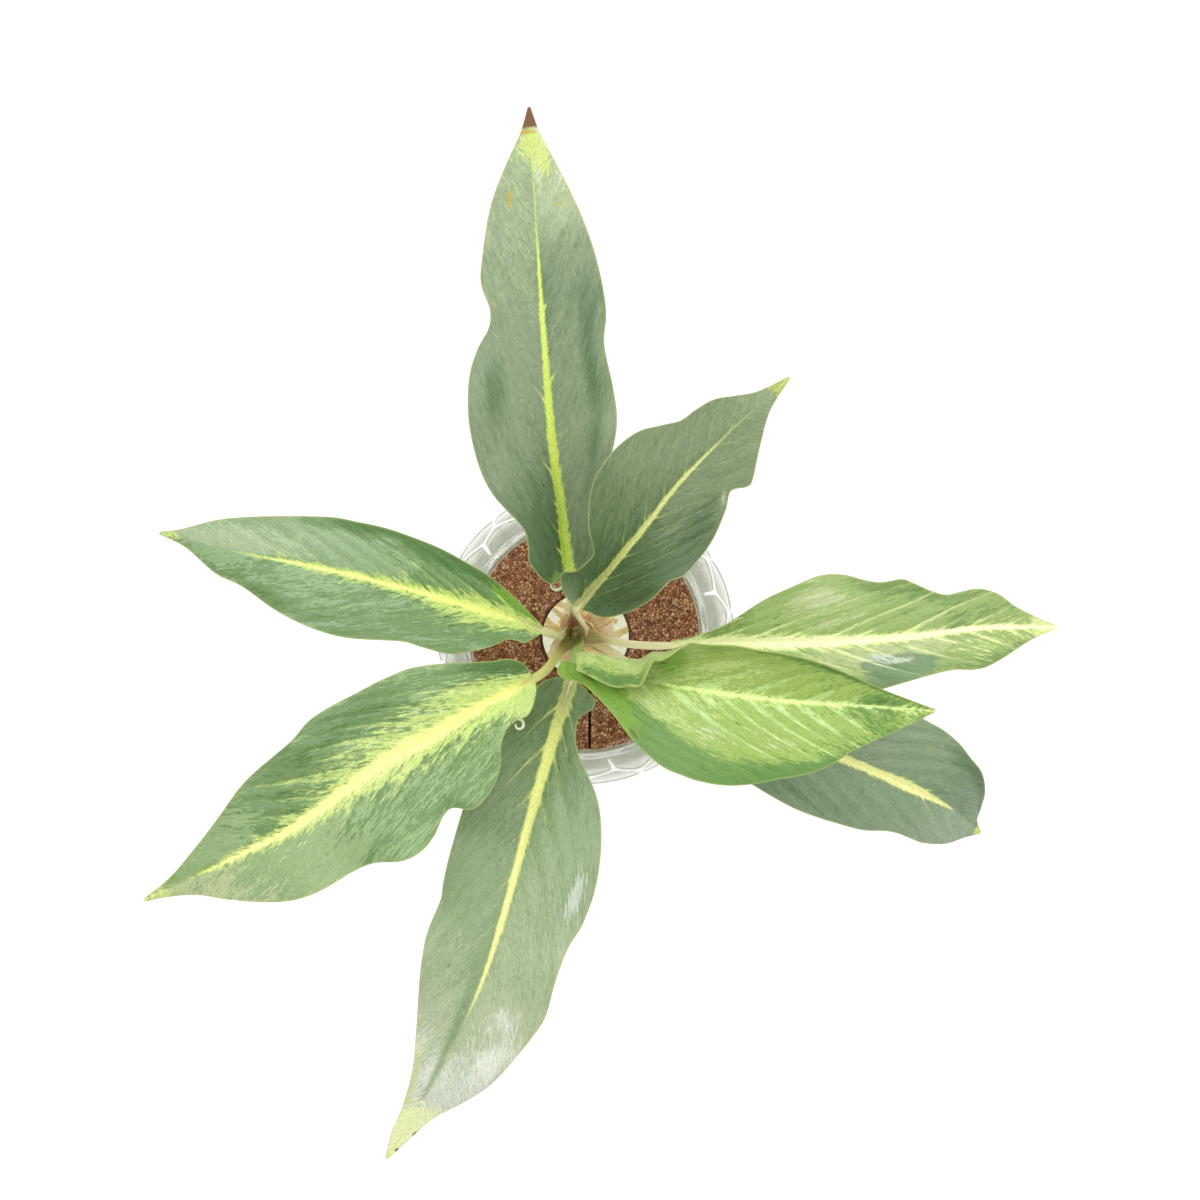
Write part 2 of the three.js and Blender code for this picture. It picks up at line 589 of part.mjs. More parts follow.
function blade(leaf) {
  const surface = bladeSurface(leaf);
  const small = 0.004;
  const reach = 0.3;
  const rings = [];
  for (let j = 0; j <= bladeRows; j += 1) {
    const even = j / bladeRows;
    const v = even - (endCrowding * Math.sin(2 * Math.PI * even)) / (2 * Math.PI);
    const top = [];
    const under = [];
    for (const u of bladeColumns) {
      const point = surface(v, u);
      const onwards = surface(Math.min(v + small, 1), u).sub(surface(Math.max(v - small, 0), u));
      const leftwards = surface(v, Math.min(u + reach, 1)).sub(surface(v, Math.max(u - reach, -1)));
      const normal = new THREE.Vector3().crossVectors(onwards, leftwards).normalize();
      const rib = ribDepth * (1 - v) * Math.max(0, 1 - Math.abs(u) / ribShare);
      top.push(point.clone().addScaledVector(normal, bladeThickness / 2).toArray());
      under.push(point.clone().addScaledVector(normal, -bladeThickness / 2 - rib).toArray());
    }
    rings.push([...under, ...top.reverse()]);
  }
  return loft(rings);
}

// A petiole rises from the cane and bends over into the blade. It is a flat sheath at the cane.
function petioleRings(leaf, extra) {
  const surface = bladeSurface(leaf);
  const [height, bearing] = leaf.socket;
  const turn = radians(bearing);
  const direction = surface(0.02, 0).sub(surface(0, 0)).normalize();
  const end = surface(0, 0).addScaledVector(direction, extra - clearance);
  end.z -= 0.5;
  const start = new THREE.Vector3(crown[0] + petioleInset * Math.cos(turn),
    crown[1] + petioleInset * Math.sin(turn), lidTop + height);
  const length = end.distanceTo(start);
  const spread = Math.hypot(end.x - start.x, end.y - start.y) / length;
  const rising = new THREE.Vector3(Math.cos(turn) * spread, Math.sin(turn) * spread, 1).normalize();
  start.addScaledVector(rising, -extra);
  const path = new THREE.CubicBezierCurve3(start, start.clone().addScaledVector(rising, length * 0.35),
    end.clone().addScaledVector(direction, -leaf.bow), end);
  const size = (t) => {
    const sheath = Math.max(0, 1 - t / 0.55);
    return [2 + 1.9 * sheath + extra, 1.7 + 0.7 * sheath + extra];
  };
  const flatSide = new THREE.Vector3(Math.cos(turn), Math.sin(turn), 0.001);
  return rodRings(path, size, 8, 10, flatSide);
}

// Assembly

addPiece('glass_jar', glassJar(), material(colours.glass, 0.05, { transparent: true, opacity: 0.35 }));
addPiece('cork_half_west', corkHalf(-1), material(colours.cork, 0.9));
addPiece('cork_half_east', corkHalf(1), material(colours.cork, 0.9));
addPiece('water', water(), material(colours.water, 0.05, { transparent: true, opacity: 0.35 }));
addPiece('roots', roots(), material(colours.roots, 0.6));
addPiece('cane', loft(caneRings(0)), material(colours.cane, 0.6));
for (const [name, sheath] of Object.entries(drySheaths)) {
  addPiece(name, drySheath(sheath), material(colours.drySheath, 0.8));
}

let taken = toSolid(loft(caneRings(clearance)));
for (const [name, leaf] of Object.entries(leaves)) {
  const petiole = toSolid(loft(petioleRings(leaf, 0))).subtract(taken);
  taken = taken.add(toSolid(loft(petioleRings(leaf, clearance))));
  addPiece(`petiole_${name}`, toGeometry(petiole), material(colours.petiole, 0.5));
  const colour = name === 'young' ? colours.youngBlade : colours.blade;
  addPiece(`blade_${name}`, blade(leaf), material(colour, 0.45));
}

export default group;
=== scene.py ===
# A grey-green Chinese evergreen in water: finer leaves, petioles, cork lid, glass jar and roots,
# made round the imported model. Lengths in the settings are millimetres, in the model's own frame.
import functools
import math

import bpy
import numpy as np
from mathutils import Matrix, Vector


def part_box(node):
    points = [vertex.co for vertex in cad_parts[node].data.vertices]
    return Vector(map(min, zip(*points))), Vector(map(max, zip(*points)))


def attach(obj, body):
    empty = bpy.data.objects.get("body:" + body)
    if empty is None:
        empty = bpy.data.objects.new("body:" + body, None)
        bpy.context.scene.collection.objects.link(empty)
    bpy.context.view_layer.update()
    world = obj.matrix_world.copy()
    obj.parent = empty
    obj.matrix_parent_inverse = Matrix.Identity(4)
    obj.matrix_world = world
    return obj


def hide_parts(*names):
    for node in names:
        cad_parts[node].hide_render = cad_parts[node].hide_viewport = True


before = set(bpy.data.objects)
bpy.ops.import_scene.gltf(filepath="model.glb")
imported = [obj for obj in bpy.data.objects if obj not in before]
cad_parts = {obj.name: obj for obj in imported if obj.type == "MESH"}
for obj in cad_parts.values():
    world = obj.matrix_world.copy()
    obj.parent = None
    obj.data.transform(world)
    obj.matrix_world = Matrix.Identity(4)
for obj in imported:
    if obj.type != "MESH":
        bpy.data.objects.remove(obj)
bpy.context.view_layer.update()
print("frame loaded:", len(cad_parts), "nodes")

mm = 0.001
up = np.array([0.0, 0.0, 1.0])
north = np.array([0.0, 1.0, 0.0])
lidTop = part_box("cork_half_east")[1].z / mm
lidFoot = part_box("cork_half_east")[0].z / mm
lidRadius = -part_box("cork_half_west")[0].x / mm
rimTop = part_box("glass_jar")[1].z / mm
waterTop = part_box("water")[1].z / mm
caneFoot, caneTop = (corner.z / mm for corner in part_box("cane"))
crown = np.array([-4.0, 1.0])  # the cane's axis at the lid


# Nodes and materials

# the setting that a second word in a node's kind stands for
nodeModes = {"Math": "operation", "VectorMath": "operation", "Mix": "data_type",
             "MapRange": "interpolation_type"}


def linear(hexColour):
    channels = [int(hexColour[k:k + 2], 16) / 255 for k in (1, 3, 5)]
    return [c / 12.92 if c <= 0.04045 else ((c + 0.055) / 1.055) ** 2.4 for c in channels] + [1.0]


def setSocket(socket, value):
    # value is another node's output, a hex colour or a plain value
    if isinstance(value, bpy.types.NodeSocket):
        socket.id_data.links.new(value, socket)
    else:
        socket.default_value = linear(value) if isinstance(value, str) else value


def addNode(tree, kind, *values, out=0, stops=(), **named):
    # plain values go to the sockets in their order, a name with a capital is a socket's name, and
    # any other is a setting's. stops are a colour ramp's, and out is the output to give back
    kind, *mode = kind.split()
    node = tree.nodes.new("ShaderNode" + kind)
    if mode:
        setattr(node, nodeModes[kind], mode[0])
    for socket, value in zip([socket for socket in node.inputs if socket.enabled], values):
        setSocket(socket, value)
    for name, value in named.items():
        if name[0].isupper():
            setSocket(node.inputs[name], value)
        else:
            setattr(node, name, value)
    for k, (position, colour) in enumerate(stops):
        ramp = node.color_ramp.elements
        element = ramp[k] if k < 2 else ramp.new(position)
        element.position = position
        element.color = linear(colour)
    return [socket for socket in node.outputs if socket.enabled][out]


def addStretchedNoise(add, place, scale, detail, roughness=0.5, shift=(0, 0), distortion=0):
    # noise that has a scale of its own in each direction of a map
    place = add("Mapping", Vector=place, Scale=(*scale, 1), Location=(*shift, 0))
    return add("TexNoise", Vector=place, Scale=1, Detail=detail, Roughness=roughness,
               Distortion=distortion)


def newMaterial(name, **values):
    # gives back the material, what adds nodes to it and what sets its shader
    material = bpy.data.materials.new(name)
    material.use_nodes = True
    tree = material.node_tree

    def setShader(**values):
        for socket, value in values.items():
            setSocket(tree.nodes["Principled BSDF"].inputs[socket.replace("_", " ")], value)

    setShader(**values)
    return material, functools.partial(addNode, tree), setShader


# Camera and room

stageSettings = {
    "cameraPlace": (6.34, 15.97, lidTop + 1000),  # straight above, 1 m over the lid
    "frameWidth": 525,  # what the picture shows across, at the height of the lid
    "sensorWidth": 36,
    "floorSize": 6000,
    "floorColour": "#b4b4b3",
    "floorGlow": 0.8,  # a backdrop lit from behind, so that shadows stay faint
    "worldColour": "#ffffff",
    "worldStrength": 0.51,
    "lights": {
        "softbox": {"place": (-250, 420, 1250), "size": 900, "power": 7.6},
        "fill": {"place": (620, 60, 950), "size": 800, "power": 3.4},
    },
}


def addStage():
    settings = stageSettings
    place = settings["cameraPlace"]
    bpy.ops.object.camera_add(location=[c * mm for c in place], rotation=(0, 0, 0))
    camera = bpy.context.object
    camera.data.sensor_width = settings["sensorWidth"]
    camera.data.lens = settings["sensorWidth"] * (place[2] - lidTop) / settings["frameWidth"]
    bpy.context.scene.camera = camera

    bpy.ops.mesh.primitive_plane_add(size=settings["floorSize"] * mm, location=(0, 0, 0))
    floor = bpy.context.object
    floor.name = "floor"
    floor.data.materials.append(newMaterial(
        "matt paper backdrop", Roughness=0.9, Base_Color=settings["floorColour"],
        Emission_Color="#ffffff", Emission_Strength=settings["floorGlow"])[0])

    world = bpy.context.scene.world or bpy.data.worlds.new("studio")
    bpy.context.scene.world = world
    world.use_nodes = True
    background = world.node_tree.nodes["Background"].inputs
    setSocket(background["Color"], settings["worldColour"])
    setSocket(background["Strength"], settings["worldStrength"])
    for name, light in settings["lights"].items():
        bpy.ops.object.light_add(type="AREA", location=[c * mm for c in light["place"]])
        lamp = bpy.context.object
        lamp.name = name
        lamp.data.size = light["size"] * mm
        lamp.data.energy = light["power"]
        aim = -lamp.location
        aim.z += lidTop * mm
        lamp.rotation_euler = aim.to_track_quat("-Z", "Y").to_euler()
    bpy.context.scene.view_settings.view_transform = "Standard"
    print("camera, floor and lights are in place")


# Shapes that the pieces share

def curveAt(points, t):
    # a point on the smooth curve through a list of points, each span taking an equal share of t
    points = np.asarray(points, float).reshape(len(points), -1)
    last = len(points) - 1
    place = np.clip(t, 0, 1) * last
    i = np.minimum(np.floor(place).astype(int), last - 1)
    f = (place - i)[..., None]
    before, start, end, after = (points[np.clip(i + k, 0, last)] for k in (-1, 0, 1, 2))
    second = 2 * before - 5 * start + 4 * end - after
    third = 3 * start - before - 3 * end + after
    return start + 0.5 * ((end - before) * f + second * f ** 2 + third * f ** 3)


def sampled(points):
    # the same curve in short steps, with the length of each step
    samples = curveAt(points, np.linspace(0, 1, 12 * (len(points) - 1) + 1))
    return samples, np.linalg.norm(np.diff(samples, axis=0), axis=1)


def evenLength(points):
    return sampled(points)[1].sum()


def evenCurve(points, share):
    # the same curve, read by a share of its length
    samples, steps = sampled(points)
    lengths = np.concatenate([[0], np.cumsum(steps)])
    wanted = np.asarray(share) * lengths[-1]
    return np.stack([np.interp(wanted, lengths, column) for column in samples.T], -1)


def valueAt(values, t):
    return curveAt(values, t)[..., 0]


def ease(low, high, t):
    share = np.clip((t - low) / (high - low), 0, 1)
    return share * share * (3 - 2 * share)


def easedAt(stops, t):
    # a value that eases from each (place, value) stop to the next
    places, values = np.array(stops, float).T
    k = np.clip(np.searchsorted(places, t), 1, len(places) - 1)
    return values[k - 1] + (values[k] - values[k - 1]) * ease(places[k - 1], places[k], t)


def unit(vectors):
    return vectors / np.maximum(np.linalg.norm(vectors, axis=-1, keepdims=True), 1e-9)


def bearingVector(degrees):
    turn = math.radians(degrees)
    return np.array([math.cos(turn), math.sin(turn), 0])


def polar(radius, turn):
    return radius * np.cos(turn), radius * np.sin(turn)


def addGrid(name, columns, rows):
    # a grid primitive, with its corners' shares: u from -1 to 1 across and v from 0 to 1 along
    bpy.ops.object.select_all(action="DESELECT")
    bpy.ops.mesh.primitive_grid_add(x_subdivisions=columns, y_subdivisions=rows, size=2,
                                    location=(0, 0, 0))
    piece = bpy.context.object
    piece.name = piece.data.name = name
    flat = np.zeros(len(piece.data.vertices) * 3)
    piece.data.vertices.foreach_get("co", flat)
    return piece, flat[::3], (flat[1::3] + 1) / 2


def setPlaces(piece, places):
    piece.data.vertices.foreach_set("co", (places * mm).ravel())
    piece.data.update()


def setMap(piece, name, across, along):
    layer = piece.data.uv_layers.get(name) or piece.data.uv_layers.new(name=name)
    corners = np.zeros(len(piece.data.loops), int)
    piece.data.loops.foreach_get("vertex_index", corners)
    layer.data.foreach_set("uv", np.stack([across, along], -1)[corners].ravel())


def setField(piece, name, values):
    field = piece.data.attributes.new(name, "FLOAT", "POINT")
    field.data.foreach_set("value", np.asarray(values, np.float32))


def editAll(piece, *steps):
    # runs edit-mode operators on the whole of a mesh
    bpy.context.view_layer.objects.active = piece
    bpy.ops.object.mode_set(mode="EDIT")
    bpy.ops.mesh.select_all(action="SELECT")
    for step in steps:
        step()
    bpy.ops.object.mode_set(mode="OBJECT")


def faceOut():
    bpy.ops.mesh.select_all(action="SELECT")
    bpy.ops.mesh.normals_make_consistent(inside=False)


def shadeSmooth(degrees=50):
    bpy.ops.object.shade_smooth_by_angle(angle=math.radians(degrees))


def closeTube(piece):
    # joins the seam of a grid bent round into a tube, and fills both ends
    editAll(
        piece,
        lambda: bpy.ops.mesh.remove_doubles(threshold=2e-6),
        lambda: bpy.ops.mesh.select_all(action="DESELECT"),
        bpy.ops.mesh.select_non_manifold,
        bpy.ops.mesh.edge_face_add,
        faceOut,
    )
    shadeSmooth()


def addModifier(piece, kind, **settings):
    modifier = piece.modifiers.new(kind.lower(), kind)
    for name, value in settings.items():
        setattr(modifier, name, value)
    bpy.context.view_layer.objects.active = piece
    bpy.ops.object.modifier_apply(modifier=modifier.name)


def sweep(name, around, path, side, section):
    # a closed rod along a path of points: section(turn, share) gives across and outward offsets
    rows = len(path) - 1
    piece, u, v = addGrid(name, around, rows)
    j = np.round(v * rows).astype(int)
    ahead = unit(np.gradient(path, axis=0))
    across = unit(np.cross(side, ahead))
    outward = unit(np.cross(ahead, across))
    a, b = section(u * math.pi, v)
    setPlaces(piece, path[j] + across[j] * a[:, None] + outward[j] * b[:, None])
    setMap(piece, "UVMap", u / 2 + 0.5, v)
    closeTube(piece)
    return piece


def finishPiece(piece, slot, nodes, *materials):
    piece.data.materials.clear()
    for material in materials:
        piece.data.materials.append(material)
    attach(piece, "root")
    if nodes:
        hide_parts(*nodes)


# Leaves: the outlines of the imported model, in each leaf's own direction

leafPlans = {
    "north": {
        "base": (-7, 27, 72), "heading": 94.5, "rise": [0, 24, 34, 30, 12],
        "midrib": [(0, 0), (29, 0.5), (52, 1.5), (80, 1.5), (134, 1), (187, 0.4)],
        "left": [(0, 2), (-3.5, 5), (-3, 9), (5, 14.5), (12, 14.5), (19, 16), (32, 26), (45, 31),
            (62, 33), (78, 31.5), (89, 27.5), (97, 22.5), (104, 21.5), (113, 24), (122, 23.5),
            (143, 19), (161, 12), (176, 4.8), (187, 1)],
        "right": [(0, -2), (2, -8), (6, -12.5), (12, -11.5), (17, -10.7), (31, -16), (46, -22),
            (58, -24.7), (71, -24), (87, -22), (101, -23.7), (120, -21.7), (139, -17), (161, -9),
            (176, -3), (187, -0.2)],
        "fold": [38, 20, 12], "bend": [-20, -22, -10], "tilt": 2, "wave": (1.6, 5, 0.1),
        "socket": (11, 95), "bow": 14,
    },
    "northeast": {
        "base": (-1.7, 12.8, 86), "heading": 47.7, "rise": [0, 20, 27, 24, 12],
        "midrib": [(-0.8, 1), (12.6, 1), (42, 2.5), (63, 4), (93, 2.7), (123, 0)],
        "left": [(-1, 2.2), (-0.8, 3.6), (-0.5, 5.4), (0.2, 8), (1.4, 11), (3.6, 13.6), (6.4, 14.2),
            (10, 11), (18, 10), (21, 12), (27, 20), (37, 27.5), (46, 30.5), (56, 31), (66, 29),
            (74, 24), (80, 20), (87, 18.5), (95, 16), (102, 11), (110, 5.5), (123, 0.6)],
        "right": [(-0.4, -0.2), (1.4, -4), (4, -10), (12, -15.5), (22, -18.7), (31, -19),
            (36, -21.5), (44, -21.7), (55, -20.3), (66, -16.5), (73, -13), (79, -16.6), (83, -15.8),
            (95, -9), (108, -3), (123, -0.6)],
        "fold": [40, 18, 10], "bend": [-25, -20, -10], "tilt": 3, "wave": (1.4, 4, 0.3),
        "socket": (20, 30), "bow": 4,
    },
    "east": {
        "base": (43.5, -0.5, 58), "heading": 2, "rise": [0, 13, 18, 12, -4],
        "midrib": [(-8, -1.9), (14, -1.2), (46, -2), (86, -1.5), (118, 1), (152, 0)],
        "left": [(-8, -0.5), (2, 1.8), (14, 6), (29, 15), (40, 20), (52, 24.5), (62, 24.5),
            (71, 22), (77, 21), (85, 22), (89, 20.7), (97, 17), (104, 15), (111, 16.3), (118, 17),
            (126, 14.5), (134, 9), (144, 4), (152, 0.6)],
        "right": [(-8, -3.3), (2, -7), (14, -17), (30, -24), (46, -27), (62, -26), (77, -22),
            (96, -17.3), (106, -15.7), (117, -15.7), (126, -12.3), (140, -5), (152, -0.6)],
        "fold": [30, 14, 10], "bend": [-20, -18, -10], "tilt": 0, "wave": (1.8, 4.5, 0.55),
        "socket": (9, -8), "bow": 16,
    },
    "young": {
        "base": (-2.9, -11.3, 84), "heading": -6.7, "rise": [0, 20, 28, 24, 10],
        "midrib": [(0, 0), (25, -1.4), (49, -2.2), (80, -2.3), (112, -1.1), (143, 0)],
        "left": [(-1.4, 20), (0.4, 25), (10, 27), (20, 27.5), (30, 27.5), (44, 26.5), (55, 25),
            (66, 23.5), (79, 21), (100, 14.5), (120, 7), (134, 3), (143, 0.6)],
        "right": [(0, -0.6), (-2.2, 1.4), (-5.4, 2.2), (-7.6, 0.2), (-7.2, -3), (-3.8, -4.8),
            (2.2, -5.4), (8, -9), (16, -15.5), (26, -25.5), (37, -33), (45, -35.5), (52, -37),
            (62, -37.5), (72, -36), (82, -33), (95, -29), (104, -24), (112, -18), (132, -7),
            (143, -0.6)],
        "fold": [10, 14, 10], "bend": [-8, -16, -8], "tilt": 0, "wave": (0.8, 3, 0.2),
        "socket": (23, -55), "bow": 4,
        "curl": [(0, 165), (0.1, 186), (0.165, 172), (0.215, 112), (0.32, 68), (0.45, 54),
            (0.7, 32), (1, 10)],
    },
    "southeast": {
        "base": (40, -22, 40), "heading": -25.5, "rise": [0, 12, 14, 4, -24],
        "midrib": [(0, 0), (35, 2.5), (71, 4), (99, 5), (127, 4), (144, 0)],
        "left": [(0, 1.8), (3, 7), (12, 15), (28, 24), (46, 30), (64, 33), (82, 34), (96, 33),
            (105, 32.5), (114, 30.5), (122, 27), (130, 23.5), (136, 17), (138.5, 10), (140, 4),
            (144, 0.6)],
        "right": [(0, -1.8), (3, -7), (12, -14), (28, -20), (43, -22), (59, -23.3), (70, -23),
            (82, -21.5), (93, -19.5), (101, -16.3), (107, -14.8), (113, -14.5), (121, -14),
            (131, -10.5), (138, -5), (144, -0.6)],
        "fold": [30, 14, 6], "bend": [-20, -22, -30], "tilt": 4, "wave": (1.3, 4, 0.7),
        "socket": (2, -25), "bow": 14,
    },
    "south": {
        "base": (-5.7, -17.4, 48), "heading": -111.1, "rise": [0, 16, 24, 18, -6],
        "midrib": [(0, 0), (27, 1.6), (60, 4.8), (101, 9), (135, 10.2), (183, 6), (215, 0)],
        "left": [(0, 2), (1, 6), (4, 12.3), (8, 12.5), (13, 8.8), (20, 10), (27, 14), (40, 27),
            (55, 34.8), (73, 39.4), (90, 40), (101, 38), (115, 38), (130, 39.5), (139, 38),
            (150, 34.6), (165, 29), (178, 21), (190, 12), (203, 6), (215, 0.6)],
        "right": [(0, -2), (2, -8), (8, -12.5), (24, -17), (44, -21.5), (62, -22.2), (82, -20.5),
            (94, -18.8), (101, -17.3), (115, -17.6), (127, -15.5), (140, -12), (157, -7),
            (172, -3.2), (190, -1.6), (203, -2), (215, -0.6)],
        "fold": [34, 18, 8], "bend": [-20, -24, -10], "tilt": -3, "wave": (1.8, 5, 0.4),
        "socket": (3, -100), "bow": 13,
    },
    "southwest": {
        "base": (-20.7, -16, 76), "heading": -150.4, "rise": [0, 18, 26, 22, 4],
        "midrib": [(0, 0), (18, -1), (46, -0.5), (70, -0.5), (107, 3.5), (139, 2.6), (180, 0)],
        "left": [(0, 2), (2, 6), (8, 11.3), (14, 11), (19, 12.3), (24, 17), (27, 22.7), (33, 28.5),
            (40, 31.7), (45, 32), (51, 28), (56, 29), (63, 34), (70, 36.5), (78, 36), (88, 31.5),
            (97, 30.3), (111, 30.6), (123, 28.6), (134, 24), (147, 16), (158, 8.5), (170, 3.5),
            (180, 0.6)],
        "right": [(0, -2), (0, -7), (4, -12), (11, -15), (27, -23.3), (39, -28), (50, -29.5),
            (63, -30), (75, -30.4), (84, -29.5), (92, -26.5), (102, -24.5), (112, -22.7),
            (121, -20), (132, -15), (147, -9), (165, -3), (180, -0.6)],
        "fold": [36, 16, 8], "bend": [-22, -22, -10], "tilt": 3, "wave": (1.8, 5, 0.85),
        "socket": (13, -140), "bow": 9,
    },
    "west": {
        "base": (-17.8, 3.7, 66), "heading": 165.7, "rise": [0, 16, 22, 18, 4],
        "midrib": [(0, 0), (16, -2), (36, -2.7), (54, -3.3), (92, -2.7), (126, -0.5), (160, 0)],
        "left": [(0, 1.8), (5, 6.7), (8, 6.5), (12, 7), (18, 11.5), (26, 15.6), (33, 18.1),
            (44, 18), (52, 17.7), (67, 20.6), (78, 21.9), (91, 21), (104, 18), (120, 12.3),
            (132, 10), (148, 2.8), (160, 0.6)],
        "right": [(0, -1.8), (4, -4.5), (13, -10.2), (25, -16.2), (35, -19.3), (48, -22.4),
            (67, -24.5), (81, -24.2), (91, -23.5), (106, -20.2), (122, -16), (137, -11),
            (152, -3.5), (160, -0.6)],
        "fold": [34, 18, 8], "bend": [-22, -22, -10], "tilt": 0, "wave": (1.2, 4, 0.6),
        "socket": (4, 168), "bow": 14,
    },
}

